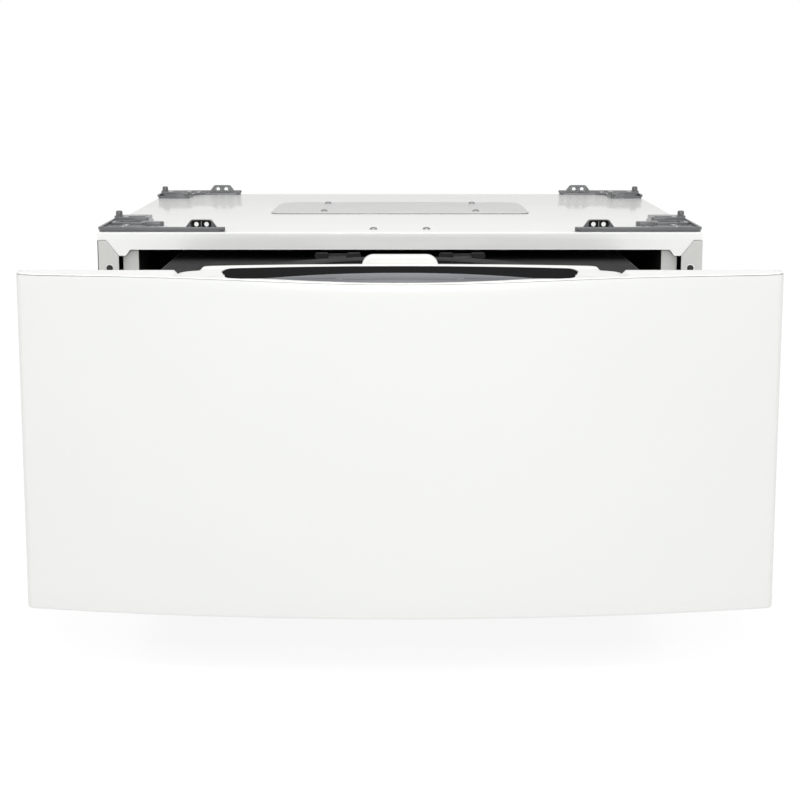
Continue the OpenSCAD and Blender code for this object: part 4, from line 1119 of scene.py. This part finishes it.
line = front_line(0)
outline = [p for p in line if p[1] < wing_back - 1e-6]
# A web joins the wing to the housing.
web = [(204, 0), (203.5, 22), (202, 33), (198, 40), (192, 44.5), (186.3, 46)]
rear_half = [(panel_w, wing_back), *[(x * mm, wing_back + y * mm) for x, y in web],
             (house_w, wing_back + 49 * mm),
             *arc(house_w - 12 * mm, house_y - 13 * mm, 12 * mm, 10, 80, 6),
             *[(x * mm, house_y - 0.5 * mm - 0.5 * mm * x / 160) for x in (150, 125, 100, 75, 50, 25)],
             (0, house_y)]
outline += rear_half + [(-x, y) for x, y in reversed(rear_half[:-1])]
bm = bmesh.new()
recess = glass_outline(0.25 * mm)
# The walls of the grip opening and of the glass recess take the grip's grey, partly as painted shade.
slab(bm, outline, [grip, recess], cap_z, cap_z, 0.8 * mm, grid=5 * mm, surface=cap_surface, under=cap_under,
     hole_slot=1)
house = [(house_w - 1 * mm, wing_back + 3 * mm), *[(x - 0.8 * mm, y - 0.8 * mm) for x, y in rear_half[7:]]]
house[-1] = (0, house_y - 0.8 * mm)
house = house + [(-x, y) for x, y in reversed(house[:-1])]
deck_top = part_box("top_cap")[0].z
slab(bm, house + list(reversed(ring_offset(house, 3 * mm))), [], deck_top, cap_z - 6 * mm)
# A wall behind the seam keeps the lint out of the front panel.
wall = front_line(1.7 * mm)[1:-1] + list(reversed(front_line(3.7 * mm)[1:-1]))
slab(bm, wall, [], cap_z - 9 * mm, cap_z + 0.9 * mm - 2 * mm,
     surface=lambda x, y: seam_z(x) - cap_z + 0.9 * mm, under=lambda x, y: seam_z(x) - cap_z)
# The floor of the recess that the glass is bonded into.
slab(bm, glass_outline(1.25 * mm, 4 * mm), [], cap_z - 7 * mm, cap_z - 2 * mm, grid=8 * mm,
     surface=cap_surface)
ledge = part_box("button_spring")[0].z
for x0, y0, x1, y1, z0, z1 in ((-46, -19, 46, 0, ledge - 3.1 * mm, ledge - 0.1 * mm),
                               (-40, -19, -37, 0, ledge - 0.2 * mm, ledge + 9.9 * mm),
                               (37, -19, 40, 0, ledge - 0.2 * mm, ledge + 9.9 * mm)):
    slab(bm, [(x0 * mm, house_y + (y0 + 19) * mm - 0.6 * mm), (x1 * mm, house_y + (y0 + 19) * mm - 0.6 * mm),
              (x1 * mm, house_y + 19 * mm), (x0 * mm, house_y + 19 * mm)], [], z0, z1, 0.4 * mm)
# The grip is a bowl below the lens shaped opening, in a grey that is partly the moulding's own tone and
# partly painted shade for the bowl.
rim = ring_offset(grip, -0.05 * mm)
depth = 18 * mm
rings = []
for t in range(9):
    a = math.radians(90 * t / 8)
    inset = 13 * mm * (1 - math.cos(a)) ** 1.2 - 1.2 * mm * math.sin(2 * a)
    level = depth * math.sin(a)
    ring = []
    for x, y in rim:
        pull = inset / (24 * mm)
        ring.append((x * (1 - pull * 0.25), y + ((side_y + 9 * mm) - y) * pull, x, y, level))
    rings.append(ring)
verts = [[bm.verts.new((x, y, max(cap_z - depth, cap_z + cap_surface(ox, oy) - 0.7 * mm - drop)))
          for x, y, ox, oy, drop in ring] for ring in rings]
bowl = []
for a, b in zip(verts, verts[1:]):
    for i in range(len(a)):
        j = (i + 1) % len(a)
        bowl.append(bm.faces.new([a[i], a[j], b[j], b[i]]))
bowl.append(bm.faces.new(verts[-1]))
for f in bowl:
    f.normal_update()
    f.material_index = 1
if bowl[-1].normal.z < 0:
    bmesh.ops.reverse_faces(bm, faces=bowl)
belongs(smooth(object_from("top_cap_moulded", bm, cap_white, grip_grey_and_shade), 40), "top_cap")

# Control glass: tempered glass, back printed in black, with a satin front.
black_glass = coating("black_printed_glass", "232324", 0.5, ripple_mm=0.9, ripple=0.02, cloud_mm=60,
                      cloud=0.06)
black_glass.node_tree.nodes["Principled BSDF"].inputs["Specular IOR Level"].default_value = 0.0
bm = bmesh.new()
slab(bm, glass_outline(0), [], cap_z - 1.9 * mm, cap_z - 0.1 * mm, 0.5 * mm, grid=8 * mm, surface=cap_surface,
     under=cap_surface)
belongs(smooth(object_from("control_glass_ground", bm, black_glass)), "control_glass")

# ---------------------------------------------------------------------------
# Lid button: a white push button with round shoulders behind the housing, on a pair
# of coil springs.
# ---------------------------------------------------------------------------
low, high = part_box("lid_button")
bm = bmesh.new()
stand = Matrix.Translation((0, high.y, 0)) @ Matrix.Rotation(math.radians(90), 4, "X")
shoulder = 11 * mm
key = [(low.x, low.z), (high.x, low.z), *arc(high.x - shoulder, high.z - shoulder, shoulder, 0, 90, 8),
       *arc(low.x + shoulder, high.z - shoulder, shoulder, 90, 180, 8)]
slab(bm, key, [], 0, high.y - low.y, 1.6 * mm, stand, steps=5)
belongs(smooth(object_from("lid_button_moulded", bm, cap_white)), "lid_button")
made = []
for low, high in islands("button_spring"):
    wire = 0.6 * mm
    foot = Matrix.Translation(((low.x + high.x) / 2, (low.y + high.y) / 2, low.z + wire))
    made.append(coil("spring", foot, 4 * mm, high.z - low.z - 2 * wire, 5.0, wire, spring_steel))
button_springs = belongs(joined("button_springs_wound", made), "button_spring")
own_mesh(button_springs)
